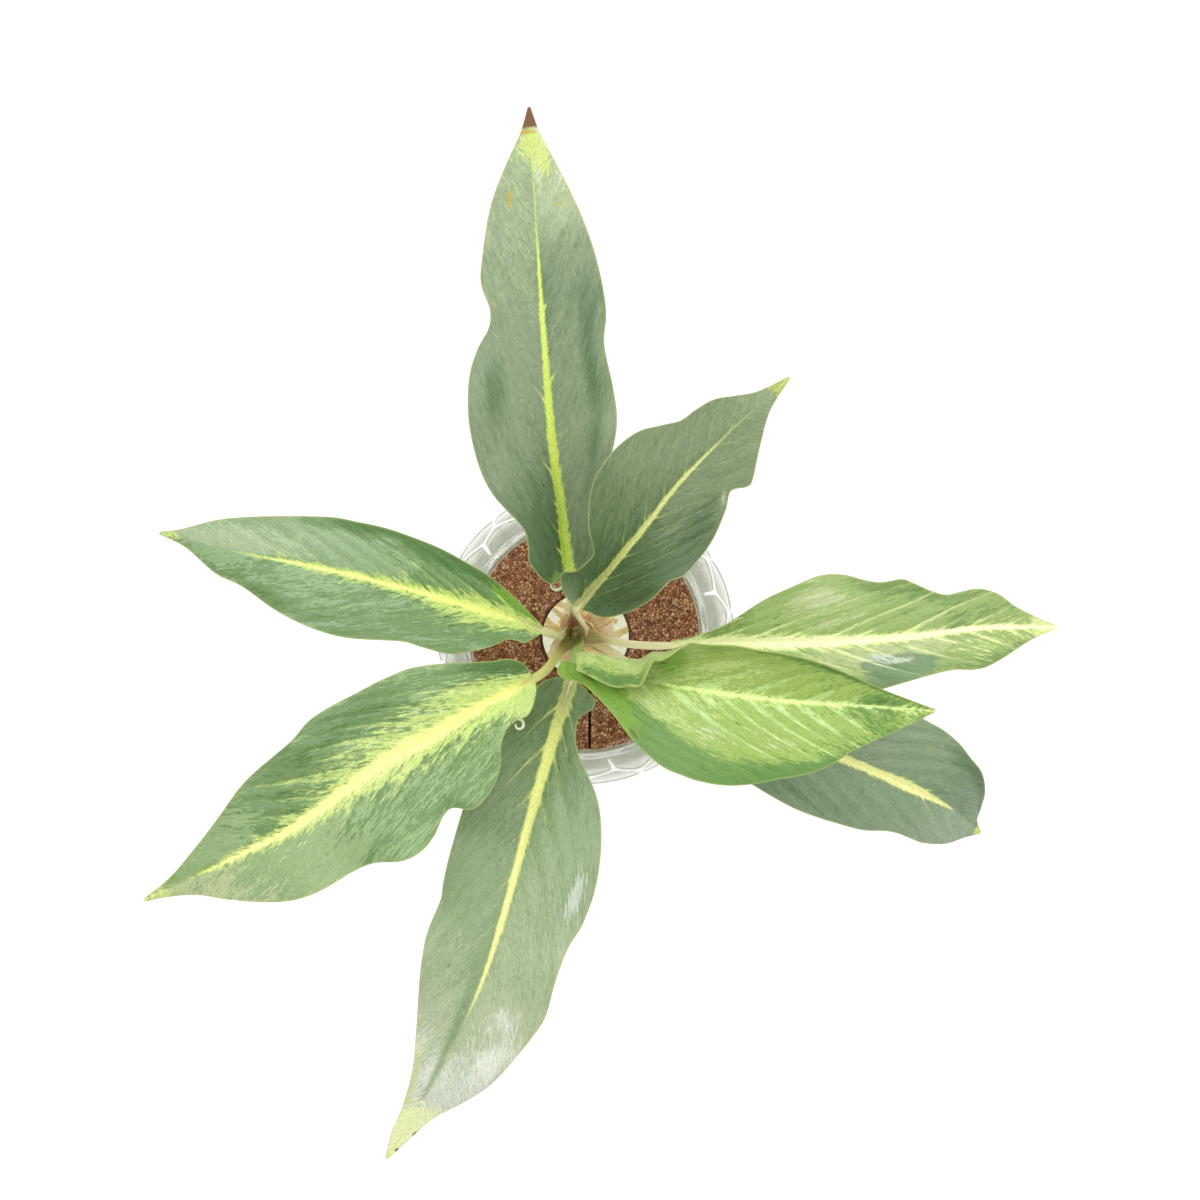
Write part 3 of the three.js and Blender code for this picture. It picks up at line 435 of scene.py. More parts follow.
# How each blade is marked. Pairs of lists are for its left and right halves, seen from above with
# the tip ahead. stripe is the half width of the pale band at even steps from base to tip. veins
# holds (where a side vein leaves the midrib, how far the pale band runs out along it). tone goes
# from 0, deep green, to 1, pale grey green, at even steps; it is partly the leaf's own greens and
# partly painted shade and painted highlight. fray is how ragged the band's edge is, haze how many
# half widths its lime flecks go out, rays how wide it fans out along the side veins as a share of
# their spacing, and mottle how broken the greens are. greens are the colours from deep to glare,
# the last a painted highlight of the waxy sheen. spots holds each kind's (share along, share
# across from -1 right to 1 left, reach along, reach across, strength); glare spots are painted
# highlights.
leafLooks = {
    "north": {
        "fray": 0.5, "mottle": 0.65, "haze": 0.15, "rays": 0.07,
        "stripe": ([3.6, 2.6, 2.2, 1.7, 1.4, 1.0, 0.6, 0.25, 0.2, 0.3, 0.5],
            [3.6, 2.8, 2.2, 1.7, 1.4, 1.0, 0.6, 0.25, 0.2, 0.3, 0.5]),
        "veins": ([(0.03, 3), (0.07, 7), (0.13, 3), (0.2, 7), (0.27, 2), (0.35, 6), (0.44, 1.5),
             (0.53, 2), (0.62, 1), (0.72, 1), (0.82, 1), (0.91, 1)],
            [(0.06, 5), (0.11, 6), (0.17, 2), (0.24, 1.5), (0.31, 2), (0.39, 5), (0.47, 1.5),
             (0.545, 4), (0.63, 1), (0.72, 1), (0.81, 1), (0.9, 1)]),
        "tone": ([0.0, 0.3, 0.42, 0.5, 0.66, 0.86], [0.24, 0.47, 0.42, 0.3, 0.82, 1.0]),
        "greens": ["#48683a", "#5f7a52", "#829571", "#abbc92", "#d8e6bc", "#e8f4d2"],
        "veinLines": 0.12, "stripeColour": "#d2e46e", "scarColour": "#c4aa48",
        "spots": {
            "tone": [(0.42, 0.67, 0.06, 0.13, -0.3), (0.29, -0.67, 0.05, 0.1, -0.25),
                (0.46, -0.72, 0.12, 0.12, -0.35)],
            "lime": [(0.915, 0, 0.05, 1.2, 0.8), (0.85, -0.5, 0.06, 0.5, 0.45)],
            "fresh": [(0.02, 0.8, 0.03, 0.4, 0.8)],
            "scar": [(0.797, 0.58, 0.026, 0.05, 1.1), (0.597, 0.88, 0.02, 0.02, 0.9),
                (0.773, -0.61, 0.008, 0.06, 0.9), (0.945, 0.3, 0.012, 2, 0.65)],
            "dry": [(0.99, 0, 0.036, 4, 1.5)],
        },
    },
    "northeast": {
        "fray": 0.3, "mottle": 0.65, "haze": 0.15, "rays": 0.05,
        "stripe": ([2.8, 2.6, 2.0, 1.5, 1.1, 0.8, 0.5, 0.25, 0.15, 0.1, 0.4],
            [2.4, 1.6, 1.3, 1.1, 0.9, 0.7, 0.45, 0.25, 0.15, 0.1, 0.4]),
        "veins": ([(0.1, 1), (0.22, 1), (0.33, 5), (0.43, 1.5), (0.53, 4), (0.63, 1), (0.74, 1),
             (0.86, 1)],
            [(0.04, 3), (0.113, 4), (0.207, 6), (0.29, 1.5), (0.36, 6), (0.46, 2), (0.56, 1.5),
             (0.67, 1), (0.8, 1)]),
        "tone": ([0.14, 0.16, 0.32, 0.4, 0.56, 0.78], [0.2, 0.13, 0.29, 0.4, 0.56, 0.78]),
        "greens": ["#42592f", "#526b43", "#74875f", "#93a57d", "#b0c18c", "#d5dec0"],
        "veinLines": 0.55, "stripeColour": "#d0d48a", "limeColour": "#a9bb5c",
        "spots": {
            "tone": [(0.17, -0.7, 0.12, 0.3, -0.15), (0.45, -0.7, 0.12, 0.2, -0.2),
                (0.02, 0.8, 0.05, 0.5, 0.5), (0.575, -0.88, 0.02, 0.06, 0.7)],
            "tan": [(0, 0, 0.12, 4, 1)],
            "lime": [(0.96, 0, 0.035, 3, 1.1), (0.02, -0.2, 0.03, 0.6, 0.6)],
        },
    },
    "east": {
        "fray": 0.9, "mottle": 1.1, "haze": 0.3, "rays": 0.15, "veinSlope": 2.1,
        "stripe": ([1.6, 1.9, 2.2, 2.3, 2.1, 1.7, 1.4, 1.2, 1.0, 0.9, 0.8],
            [2.6, 3.2, 3.4, 3.2, 2.5, 1.8, 1.4, 1.2, 1.0, 0.9, 0.8]),
        "veins": ([(0.02, 13), (0.1, 8), (0.18, 20), (0.27, 7), (0.38, 22), (0.45, 5), (0.57, 17),
             (0.66, 6), (0.74, 10), (0.85, 5)],
            [(0.08, 14), (0.16, 8), (0.25, 14), (0.36, 17), (0.44, 8), (0.54, 14), (0.65, 8),
             (0.74, 10), (0.85, 5)]),
        "tone": ([0.38, 0.42, 0.56, 0.38, 0.38, 0.5], [0.42, 0.6, 0.66, 0.7, 0.5, 0.5]),
        "greens": ["#5c7c38", "#7a9854", "#98b26a", "#b8c68e", "#d8e8a8", "#eef6e0"],
        "veinLines": 0.35, "stripeColour": "#fbfbca", "limeColour": "#dff09c",
        "rayColour": "#f0f8b4", "greyColour": "#748f6c",
        "spots": {
            "lime": [(0.9, 0, 0.13, 1.2, 0.4), (0.75, -0.5, 0.12, 0.5, 0.35),
                (0.15, -0.3, 0.1, 0.4, 0.5), (0.97, 0, 0.04, 2, 0.7)],
            "tone": [(0.37, 0.7, 0.08, 0.25, 0.25), (0.1, 0.8, 0.12, 0.3, -0.2),
                (0.55, 0.9, 0.2, 0.15, -0.25), (0.6, -0.95, 0.4, 0.3, -0.35)],
            "glare": [(0.38, 0.6, 0.09, 0.2, 0.45), (0.52, -0.36, 0.05, 0.09, 0.85),
                (0.58, -0.5, 0.05, 0.08, 0.75)],
            "grey": [(0.58, -0.7, 0.085, 0.32, 1.35), (0.51, -0.45, 0.035, 0.1, 0.9)],
        },
    },
    "young": {
        "fray": 1.6, "mottle": 1.1, "haze": 0.6, "rays": 0.24,
        "stripe": ([0, 0, 0.1, 0.5, 0.9, 0.9, 0.7, 0.5, 0.4, 0.3, 0.3],
            [0, 0, 0.1, 0.7, 1.2, 1.2, 0.9, 0.6, 0.4, 0.3, 0.3]),
        "veins": ([(0.1, 1), (0.22, 3), (0.34, 12), (0.47, 12), (0.55, 5), (0.64, 7), (0.73, 4),
             (0.84, 2), (0.93, 1)],
            [(0.08, 2), (0.17, 8), (0.265, 26), (0.345, 16), (0.39, 24), (0.467, 27), (0.53, 14),
             (0.6, 22), (0.7, 13), (0.8, 6), (0.9, 2)]),
        "tone": ([0.62, 0.68, 0.62, 0.46, 0.34, 0.26], [0.36, 0.68, 0.56, 0.46, 0.36, 0.32]),
        "greens": ["#557b2f", "#6f9646", "#9dba5c", "#b9cf7c", "#cfe28c", "#dcf0a2"],
        "veinLines": 0.5, "stripeColour": "#e2f7a0", "limeColour": "#cce58c",
        "rayColour": "#d4f2a8", "underColour": "#aac662", "scarColour": "#5f6a28",
        "greyColour": "#628d45", "glareColour": "#d2dcb4",
        "spots": {
            "tone": [(0.5, -1, 0.3, 0.25, -0.3), (0.01, -0.7, 0.02, 0.6, -0.5),
                (0.38, 0.8, 0.04, 0.12, -0.3), (0.7, 0.95, 0.3, 0.1, -0.4),
                (0.85, 0.3, 0.07, 0.4, -0.25)],
            "grey": [(0.25, -0.95, 0.1, 0.38, 1.3), (0.38, -0.98, 0.1, 0.3, 1.2),
                (0.54, -1, 0.14, 0.26, 1.2), (0.7, -1.02, 0.08, 0.16, 0.9),
                (0.1, 0.9, 0.12, 0.12, 0.8), (0.38, 0.82, 0.05, 0.12, 0.5)],
            "glare": [(0.26, -0.4, 0.08, 0.22, 0.42), (0.42, -0.5, 0.1, 0.2, 0.45),
                (0.6, -0.55, 0.08, 0.18, 0.4)],
            "fresh": [(0.07, -0.6, 0.13, 0.6, 1.1), (0.26, 0.5, 0.07, 0.5, 0.8),
                (0.2, -0.9, 0.12, 0.3, 0.8)],
            "lime": [(0.05, -1, 0.008, 0.1, 0.6), (0.93, 0, 0.05, 1.2, 0.5)],
            "scar": [(0.28, -0.93, 0.022, 0.028, 0.95)],
        },
    },
    "southeast": {
        "fray": 0.4, "mottle": 0.65, "haze": 0.15, "rays": 0.06,
        "stripe": ([1.8, 1.8, 1.8, 1.8, 1.8, 1.9, 1.7, 2.2, 1.2, 0, 0],
            [1.8, 1.8, 1.8, 1.8, 1.8, 1.9, 1.7, 2.2, 1.2, 0, 0]),
        "veins": ([(0.1, 1), (0.2, 1), (0.3, 1), (0.42, 1), (0.54, 2), (0.65, 1), (0.74, 6),
             (0.83, 1), (0.92, 1)],
            [(0.1, 1), (0.22, 1), (0.33, 1), (0.45, 1.5), (0.57, 1.5), (0.66, 1), (0.745, 7),
             (0.84, 1), (0.92, 1)]),
        "tone": ([0.5, 0.52, 0.58, 0.56, 0.32, 0.45], [0.52, 0.52, 0.52, 0.4, 0.56, 0.62]),
        "greens": ["#4f6a45", "#68825e", "#869d7a", "#9eaf94", "#b8c6a8", "#ccd8c0"],
        "veinLines": 0.15, "stripeColour": "#f6f7a6",
        "spots": {
            "tone": [(0.42, -0.75, 0.1, 0.2, -0.2), (0.85, 0.9, 0.12, 0.15, -0.3)],
            "lime": [(0.99, 0, 0.012, 3, 1.1)],
            "scar": [(0.69, 0.7, 0.006, 0.09, 0.7)],
        },
    },
    "south": {
        "fray": 0.3, "mottle": 0.6, "haze": 0.2, "rays": 0.09,
        "stripe": ([3.4, 3.6, 2.7, 1.9, 1.5, 1.1, 0.5, 0, 0, 0, 0.5],
            [2.8, 2.5, 2.2, 1.8, 1.4, 1.1, 0.5, 0, 0, 0, 0.5]),
        "veins": ([(0.04, 10), (0.08, 10), (0.13, 7), (0.22, 9), (0.3, 2), (0.38, 2), (0.47, 2),
             (0.56, 2), (0.65, 1), (0.74, 1), (0.83, 1), (0.92, 1)],
            [(0.04, 13), (0.12, 15), (0.21, 8), (0.29, 2), (0.38, 4), (0.46, 1), (0.55, 1.5),
             (0.64, 1), (0.74, 1), (0.84, 1), (0.93, 1)]),
        "tone": ([0.2, 0.3, 0.56, 0.68, 1, 1.05], [0.12, 0.26, 0.4, 0.62, 1, 1.05]),
        "greens": ["#57743f", "#6c8658", "#8fa67a", "#b3c29c", "#dbe4d0", "#f0f6e0"],
        "veinLines": 0.28, "limeColour": "#d3da86", "stripeColour": "#f3f5a4",
        # freshColour is the tip's own pale yellow, made brighter as painted light where the
        # drooping tip turns from the lamps
        "freshColour": "#f6fdba", "scarColour": "#5c3b24", "stalkColour": "#c2c492",
        "spots": {
            "glare": [(0.4, 0.8, 0.07, 0.13, 0.75)],
            "tone": [(0.64, 0.5, 0.03, 0.24, 0.25), (0.72, 0.7, 0.05, 0.2, 0.2),
                (0.72, -0.12, 0.12, 0.1, -0.45)],
            "lime": [(0.82, -0.85, 0.14, 0.25, 0.6)],
            "fresh": [(0.925, 0, 0.08, 3, 0.95)],
            "tan": [(0, 0, 0.07, 4, 1.1)],
            "scar": [(0.012, 0.1, 0.008, 0.12, 1.1), (0.885, -0.6, 0.004, 0.4, 0.6),
                (0.93, 0.9, 0.01, 0.1, 0.9)],
            "dry": [(0.975, 0.8, 0.006, 0.4, 1)],
        },
    },
    "southwest": {
        "fray": 1.9, "mottle": 1, "haze": 1.1, "rays": 0.3,
        "stripe": ([2.0, 2.6, 3.3, 3.8, 3.3, 2.4, 1.7, 1.1, 0.5, 0.1, 0.3],
            [2.0, 2.8, 3.8, 4.3, 3.5, 2.4, 1.7, 1.1, 0.5, 0.1, 0.3]),
        "veins": ([(0.05, 16), (0.12, 12), (0.19, 8), (0.265, 14), (0.35, 8), (0.42, 11), (0.5, 4),
             (0.58, 4), (0.67, 2), (0.76, 2), (0.86, 1), (0.94, 1)],
            [(0.05, 18), (0.12, 16), (0.2, 19), (0.27, 22), (0.33, 16), (0.41, 25), (0.49, 9),
             (0.57, 9), (0.66, 3), (0.75, 2), (0.85, 1), (0.93, 1)]),
        "tone": ([0.42, 0.3, 0.26, 0.44, 0.66, 0.72], [0.26, 0.36, 0.32, 0.16, 0.44, 0.46]),
        "greens": ["#54793c", "#74935c", "#98b47c", "#bccb96", "#d0dfae", "#e0eccc"],
        "veinLines": 0.3, "limeColour": "#d0e586", "stripeColour": "#fcfda6",
        "spots": {
            "lime": [(0.03, 0.4, 0.11, 0.8, 1), (0.14, -0.35, 0.1, 0.4, 0.6),
                (0.34, -0.35, 0.14, 0.3, 0.5), (0.3, 0.3, 0.2, 0.25, 0.4),
                (0.55, -0.3, 0.12, 0.3, 0.4), (0.96, 0, 0.04, 2, 0.7)],
            "fresh": [(0.3, -0.8, 0.25, 0.2, 0.35), (0.83, -0.05, 0.05, 0.2, 0.75),
                (0.92, -0.7, 0.03, 0.4, 0.7)],
            "tone": [(0.08, -0.85, 0.1, 0.3, -0.4), (0.4, -0.7, 0.14, 0.25, -0.25)],
            "tan": [(0, 0, 0.04, 4, 0.7)],
        },
    },
    "west": {
        "fray": 1.6, "mottle": 1, "haze": 1.1, "rays": 0.2,
        "stripe": ([1.4, 2.0, 2.0, 1.6, 1.2, 0.9, 0.6, 0.35, 0.1, 0, 0.2],
            [1.4, 2.0, 2.2, 1.7, 1.2, 0.9, 0.6, 0.35, 0.1, 0, 0.2]),
        "veins": ([(0.05, 9), (0.12, 11), (0.18, 11), (0.25, 6), (0.33, 5), (0.4, 2), (0.47, 6),
             (0.55, 2), (0.64, 1.5), (0.73, 1), (0.83, 1), (0.92, 1)],
            [(0.05, 9), (0.12, 10), (0.18, 9), (0.225, 15), (0.3, 11), (0.38, 6), (0.46, 2),
             (0.55, 3), (0.65, 5), (0.75, 1), (0.85, 1), (0.93, 1)]),
        "tone": ([0.26, 0.2, 0.26, 0.3, 0.36, 0.36], [0.2, 0.18, 0.34, 0.56, 0.74, 0.7]),
        "greens": ["#547a3c", "#74935c", "#93ae80", "#aec298", "#c8d6ae", "#dbe6d0"],
        "veinLines": 0.3, "limeColour": "#c8e07c", "stripeColour": "#ecf894",
        "spots": {
            "lime": [(0.1, 0.1, 0.1, 0.5, 0.8), (0.26, 0, 0.14, 0.5, 0.5), (0.97, 0, 0.04, 2, 0.6)],
            "fresh": [(0.08, -0.8, 0.08, 0.4, 1.2), (0.88, 0.5, 0.04, 0.5, 0.5)],
            "tone": [(0.4, -0.92, 0.35, 0.18, -0.6), (0.42, -0.85, 0.04, 0.1, 0.4),
                (0.7, 0.85, 0.15, 0.15, -0.25)],
            "tan": [(0, 0, 0.07, 4, 0.9)],
        },
    },
}

bladeSettings = {
    "columns": 64, "rows": 190,
    "middleCrowding": 1.2, "endCrowding": 0.3,  # closer columns at the midrib, rows at the ends
    "thickness": 0.8, "marginThickness": 0.45, "marginWidth": 6,
    "ribDepth": 1.3, "ribWidth": 1.6,  # ridge under the midrib
    "grooveDepth": 0.7, "grooveWidth": 1.5,  # channel above it
    "veinSlope": 1.4, "veinBend": 1.0,  # how far side veins lean towards the tip
    "ribFade": 0.85, "grooveFade": 0.8,  # how much of them is gone at the tip
    "quilting": 0.25,  # swell between the side veins
    "quiltEdges": (8, 5),  # over how many mm it sets in, from the midrib and from the margin
    "halvesBlend": 0.12,  # share of the width over which the halves' markings meet
    "mapUnit": 100,  # mm to one unit of the veins map
    "greyColour": "#7d937c", "glareColour": "#cfd8c8", "freshColour": "#7da83a",
    "limeColour": "#cfe07e", "stripeColour": "#e9f58a", "stalkColour": "#c3c48c",
    "underColour": "#a8bd92", "marginColour": "#b9c870", "scarColour": "#c19a4c",
    "dryColour": "#7d583a", "speckColour": "#33502f",
}
spotKinds = ("tone", "lime", "fresh", "grey", "glare", "tan", "scar", "dry")
leafFields = spotKinds + ("stripe", "rib", "margin", "turns", "reach")


def bladeSurface(plan, v, u):
    # places on the blade at u across and v along, the way out from the midrib, and the half width
    ahead = bearingVector(plan["heading"])[:2]
    left = np.array([-ahead[1], ahead[0]])
    rib = evenCurve(plan["midrib"], v)
    onLeft = u > 0
    edge = np.where(onLeft[:, None], evenCurve(plan["left"], v), evenCurve(plan["right"], v))
    t = np.abs(u)
    width = np.linalg.norm(edge - rib, axis=1)
    fold = np.radians(valueAt(plan["fold"], v))
    bend = np.radians(valueAt(plan["bend"], v))
    flatWidth = width * bend / (np.sin(fold + bend) - np.sin(fold))
    if "curl" in plan:
        bend = np.where(onLeft, np.radians(easedAt(plan["curl"], v)), bend)
        flatWidth = np.where(onLeft, width, flatWidth)
    out = flatWidth * (np.sin(fold + bend * t) - np.sin(fold)) / bend
    rise = flatWidth * (np.cos(fold) - np.cos(fold + bend * t)) / bend
    waveHeight, waves, phase = plan["wave"]
    swing = np.sin(2 * np.pi * (waves * v + phase) + u)
    ripple = waveHeight * t ** 2 * np.sin(np.pi * v) * swing
    place = rib + (edge - rib) * (out / np.maximum(width, 1e-6))[:, None]
    tilt = math.tan(math.radians(plan["tilt"])) * place[:, 1]
    tilt = tilt * np.sin(np.pi * np.minimum(v * 2, 1) / 2)
    level = plan["base"][:2] + place[:, :1] * ahead + place[:, 1:] * left
    height = lidTop + plan["base"][2] + valueAt(plan["rise"], v) + rise + ripple + tilt
    return np.column_stack([level, height]), flatWidth * t, flatWidth


def bladeNormal(plan, v, u, stepAlong=0.004, stepAcross=0.12):
    ahead, behind = np.minimum(v + stepAlong, 1), np.maximum(v - stepAlong, 0)
    left, right = np.minimum(u + stepAcross, 1), np.maximum(u - stepAcross, -1)
    onwards = bladeSurface(plan, ahead, u)[0] - bladeSurface(plan, behind, u)[0]
    leftwards = bladeSurface(plan, v, left)[0] - bladeSurface(plan, v, right)[0]
    return unit(np.cross(onwards, leftwards))


def makeBlade(name, plan, look):
    settings = {**bladeSettings, **look}
    piece, x, y = addGrid("leaf_" + name, settings["columns"], settings["rows"])
    u = -np.sign(x) * np.abs(x) ** settings["middleCrowding"]
    v = y - settings["endCrowding"] * np.sin(2 * np.pi * y) / (2 * np.pi)
    middle, out, flatWidth = bladeSurface(plan, v, u)
    margin = flatWidth - out

    # where the side vein through each point leaves the midrib: it bends towards the tip
    length = evenLength(plan["midrib"])
    halfWidth = max(abs(point[1]) for point in plan["left"] + plan["right"])
    start = v * length - settings["veinSlope"] * out - settings["veinBend"] * out ** 2 / halfWidth
    turns, reach = np.zeros(len(u)), np.zeros(len(u))
    for half, veins in zip((u > 0, u <= 0), look["veins"]):
        places, lengths = np.array(veins).T
        last = len(veins) - 1
        # beyond the first and last vein they go on, 8 in 0.6 of the length
        places = np.concatenate([[places[0] - 0.6], places, [places[-1] + 0.6]])
        numbers = np.concatenate([[-8], np.arange(last + 1), [last + 8]])
        turns[half] = np.interp(start[half] / length, places, numbers)
        nearest = np.round(turns[half]).astype(int)
        onVein = (nearest >= 0) & (nearest <= last)
        reach[half] = np.where(onVein, lengths[nearest.clip(0, last)], 0)
    inner, outer = settings["quiltEdges"]
    full = ease(0, inner, out) * ease(0, outer, margin)
    swell = -settings["quilting"] * np.cos(2 * np.pi * turns) * full
    groove = np.exp(-(out / settings["grooveWidth"]) ** 2) * (1 - settings["grooveFade"] * v)
    relief = swell - settings["grooveDepth"] * groove
    normal = bladeNormal(plan, v, u)
    setPlaces(piece, middle + normal * (settings["thickness"] / 2 + relief)[:, None])

    setMap(piece, "UVMap", u / 2 + 0.5, v)
    setMap(piece, "veins", start / settings["mapUnit"], out * np.sign(u) / settings["mapUnit"])
    blend = ease(-settings["halvesBlend"], settings["halvesBlend"], u)
    left, right = ({key: valueAt(look[key][k], v) for key in ("stripe", "tone")} for k in (0, 1))
    both = {key: right[key] + (left[key] - right[key]) * blend for key in left}
    fields = {kind: np.zeros(len(u)) for kind in spotKinds}
    fields["tone"] = both["tone"]
    for kind, spots in look["spots"].items():
        for along, across, reachAlong, reachAcross, strength in spots:
            distance = -((v - along) / reachAlong) ** 2 - ((u - across) / reachAcross) ** 2
            fields[kind] += strength * np.exp(distance)
    fields["stripe"] = np.maximum(both["stripe"], 0)
    fields.update(rib=out, margin=margin, turns=turns, reach=reach)
    for field, values in fields.items():
        setField(piece, field, values)

    thin, thick, deep = (settings[key] for key in ("marginThickness", "thickness", "ribDepth"))
    ridge = np.exp(-(out / settings["ribWidth"]) ** 2) * (1 - settings["ribFade"] * v)
    thickness = thin + (thick - thin) * ease(0, settings["marginWidth"], margin) + deep * ridge
    group = piece.vertex_groups.new(name="thickness")
    for index, share in enumerate(np.clip(thickness / (thick + deep), 0, 1)):
        group.add([index], float(share), "REPLACE")
    addModifier(piece, "SOLIDIFY", thickness=(thick + deep) * mm, offset=-1,
                vertex_group=group.name, material_offset=1)
    shadeSmooth(60)
    finishPiece(piece, "young_leaf" if name == "young" else "leaf", ["blade_" + name],
                makeLeafTop(name, look), makeLeafUnder(name, look))


topSettings = {
    # noise laid along the side veins, from fine hairs to patches: cycles per 100 mm across and
    # along them, detail and roughness
    "noises": {
        "hairs": (85, 55, 5, 0.7), "flakes": (36, 34, 10, 0.76), "patches": (7, 10, 14, 0.78),
        "grain": (95, 140, 3, 0.75), "lace": (22, 28, 11, 0.8),
    },
    # how much of each noise breaks the tone, the pale band's edge and the fine grain
    "toneNoise": {"patches": 0.8, "flakes": 0.6, "hairs": 0.3, "grain": 0.3},
    "bandNoise": {"flakes": 0.6, "hairs": 0.2, "patches": 0.4},
    "grainNoise": {"hairs": 0.5, "grain": 0.5},
    "mottled": 0.8, "softStep": 0.09, "mottledStep": 0.015,  # half width of a step between greens
    # zones of colour: kind, the noise that frays them and where they are full
    "zones": (("grey", "lace", 1.8), ("glare", "flakes", 1.95), ("fresh", "flakes", 1.95),
              ("lime", "flakes", 1.95)),
    "veinLine": 0.055, "flareWidth": 0.09,  # half widths as a share of the side veins' spacing
    "rimWidth": (0.6, 0.2), "roughness": (0.38, 0.52),
    "speckCells": 11, "speckShare": 0.82, "speckSize": (0.08, 0.05),
}


def makeLeafTop(name, look):
    # living leaf with a thin wax coat: satin sheen, greens that meet in broken edges along the side
    # veins, and a pale band that runs out into them
    settings = {**bladeSettings, **topSettings, **look}
    material, add, setShader = newMaterial("waxy leaf " + name, IOR=1.4, Coat_Weight=0.1,
                                           Coat_Roughness=0.3, Subsurface_Weight=0.05,
                                           Subsurface_Scale=0.002)
    veins = add("UVMap", uv_map="veins")
    field = {key: add("Attribute", attribute_name=key, out=2) for key in leafFields}
    noise = {key: addStretchedNoise(add, veins, (across, along), detail, roughness,
                                    (detail, len(name)), 0.4)
             for key, (across, along, detail, roughness) in settings["noises"].items()}

    def addNoises(start, shares, times=1):
        for key, share in shares.items():
            start = add("Math MULTIPLY_ADD", noise[key], share * times, start)
        return start

    def product(amount, *others):
        for other in others:
            amount = add("Math MULTIPLY", amount, other)
        return amount

    # greens: the tone, partly own colour and partly painted shade and highlight, broken by noise,
    # on a ramp with short steps
    mottle = settings["mottle"]
    tone = add("Math MULTIPLY_ADD", field["tone"], 0.8, -mottle)
    tone = addNoises(tone, settings["toneNoise"], mottle)
    soft = settings["mottledStep" if mottle > settings["mottled"] else "softStep"]
    places = (0, 0.1, 0.235 - soft, 0.235 + soft, 0.5 - soft * 1.3, 0.5 + soft * 1.3, 0.67, 0.8, 1)
    greens = [settings["greens"][k] for k in (0, 1, 1, 2, 2, 3, 3, 4, 5)]
    base = add("ValToRGB", tone, stops=list(zip(places, greens)))
    # the glare zone is a painted highlight of the waxy sheen
    for key, frayed, full in settings["zones"]:
        amount = addNoises(field[key], {frayed: 1.9, "hairs": 0.7})
        amount = add("MapRange SMOOTHSTEP", amount, 1.72, full, 0, 0.85)
        base = add("Mix RGBA", amount, base, settings[key + "Colour"])

    # side veins: turns passes a whole number at each of them, and away is how far off the vein is
    flakes, lime = noise["flakes"], settings["limeColour"]
    away = add("Math ADD", field["turns"], addNoises(0.35, {"flakes": 0.3}))
    away = add("Math SUBTRACT", add("Math FRACT", away), 0.5)
    away = add("Math ABSOLUTE", away)
    line = add("MapRange SMOOTHSTEP", away, settings["veinLine"], 0, 0, 1)
    faded = add("MapRange", field["margin"], 1.5, 12, 0, settings["veinLines"])
    uneven = add("MapRange", flakes, 0.4, 0.58, 0.1, 1)
    base = add("Mix RGBA", product(line, faded, uneven), base, lime)

    # pale band: a flaky edge round its half width, a short flare where each side vein leaves it,
    # and a broken ray that narrows out along the vein. inside is how many mm a point lies within
    # the band's edge
    stripe, reach = field["stripe"], field["reach"]
    inside = add("Math SUBTRACT", stripe, field["rib"])
    flare = add("MapRange", away, settings["flareWidth"], 0, 0, 0.22)
    flare = product(flare, add("Math MINIMUM", reach, 5))
    left = add("Math ADD", inside, reach)
    share = add("Math DIVIDE", left, add("Math MAXIMUM", reach, 4))
    width = add("MapRange", share, 0, 1, 0.02, settings["rays"])
    rough = add("Math ADD", away, addNoises(-0.175, {"flakes": 0.35}))
    ray = add("Math SUBTRACT", width, rough)
    ray = add("MapRange SMOOTHSTEP", ray, -0.02, 0.02, 0, 1)
    left = add("MapRange", left, 0, 5, 0, 0.9)
    broken = add("MapRange", noise["patches"], 0.42, 0.54, 0.3, 1)
    ray = product(ray, left, uneven, broken)
    base = add("Mix RGBA", ray, base, settings.get("rayColour", lime))
    flaky = addNoises(-0.6, settings["bandNoise"])
    present = add("MapRange", stripe, 0.05, 0.4, 0, 1)
    band = add("Mix RGBA", field["tan"], settings["stripeColour"], settings["stalkColour"])
    for grow, flares, fray, full, colour in ((settings["haze"], 1.2, 6, 0.85, lime),
                                             (-0.05, 0.5, 2.2, 1, band)):
        fray *= settings["fray"]
        amount = add("Math MULTIPLY_ADD", stripe, fray * 1.2, fray * 0.8)
        amount = add("Math MULTIPLY_ADD", flaky, amount, inside)
        amount = add("Math MULTIPLY_ADD", stripe, grow, amount)
        amount = add("Math MULTIPLY_ADD", flare, flares, amount)
        amount = add("MapRange SMOOTHSTEP", amount, -0.6, 0.5, 0, full)
        base = add("Mix RGBA", product(amount, present), base, colour)

    # fine light and dark grain, thin pale margin, scars, dry tip and a few dark specks
    grain = add("MapRange", addNoises(0.25, settings["grainNoise"]), 0.57, 0.93, 0.68, 1.34)
    grain = add("CombineXYZ", grain, grain, grain)
    base = add("Mix RGBA", 0.9, base, grain, blend_type="MULTIPLY")
    rim = add("MapRange", field["margin"], *settings["rimWidth"], 0, 0.5)
    base = add("Mix RGBA", rim, base, settings["marginColour"])
    for key in ("scar", "dry"):
        amount = add("MapRange", addNoises(field[key], {"flakes": 0.6}), 0.75, 0.95, 0, 1)
        base = add("Mix RGBA", amount, base, settings[key + "Colour"])
    cells = add("TexVoronoi", Vector=veins, Scale=settings["speckCells"])
    dots = add("MapRange", cells, *settings["speckSize"], 0, 0.8)
    chosen = add("SeparateXYZ", cells.node.outputs["Color"])
    chosen = add("Math GREATER_THAN", chosen, settings["speckShare"])
    base = add("Mix RGBA", product(dots, chosen), base, settings["speckColour"])
    height = add("Math MULTIPLY_ADD", line, -1.5, noise["grain"])
    setShader(Base_Color=base, Normal=add("Bump", Strength=0.25, Distance=0.0003, Height=height),
              Roughness=add("MapRange", noise["grain"], 0.3, 0.7, *settings["roughness"]))
    return material


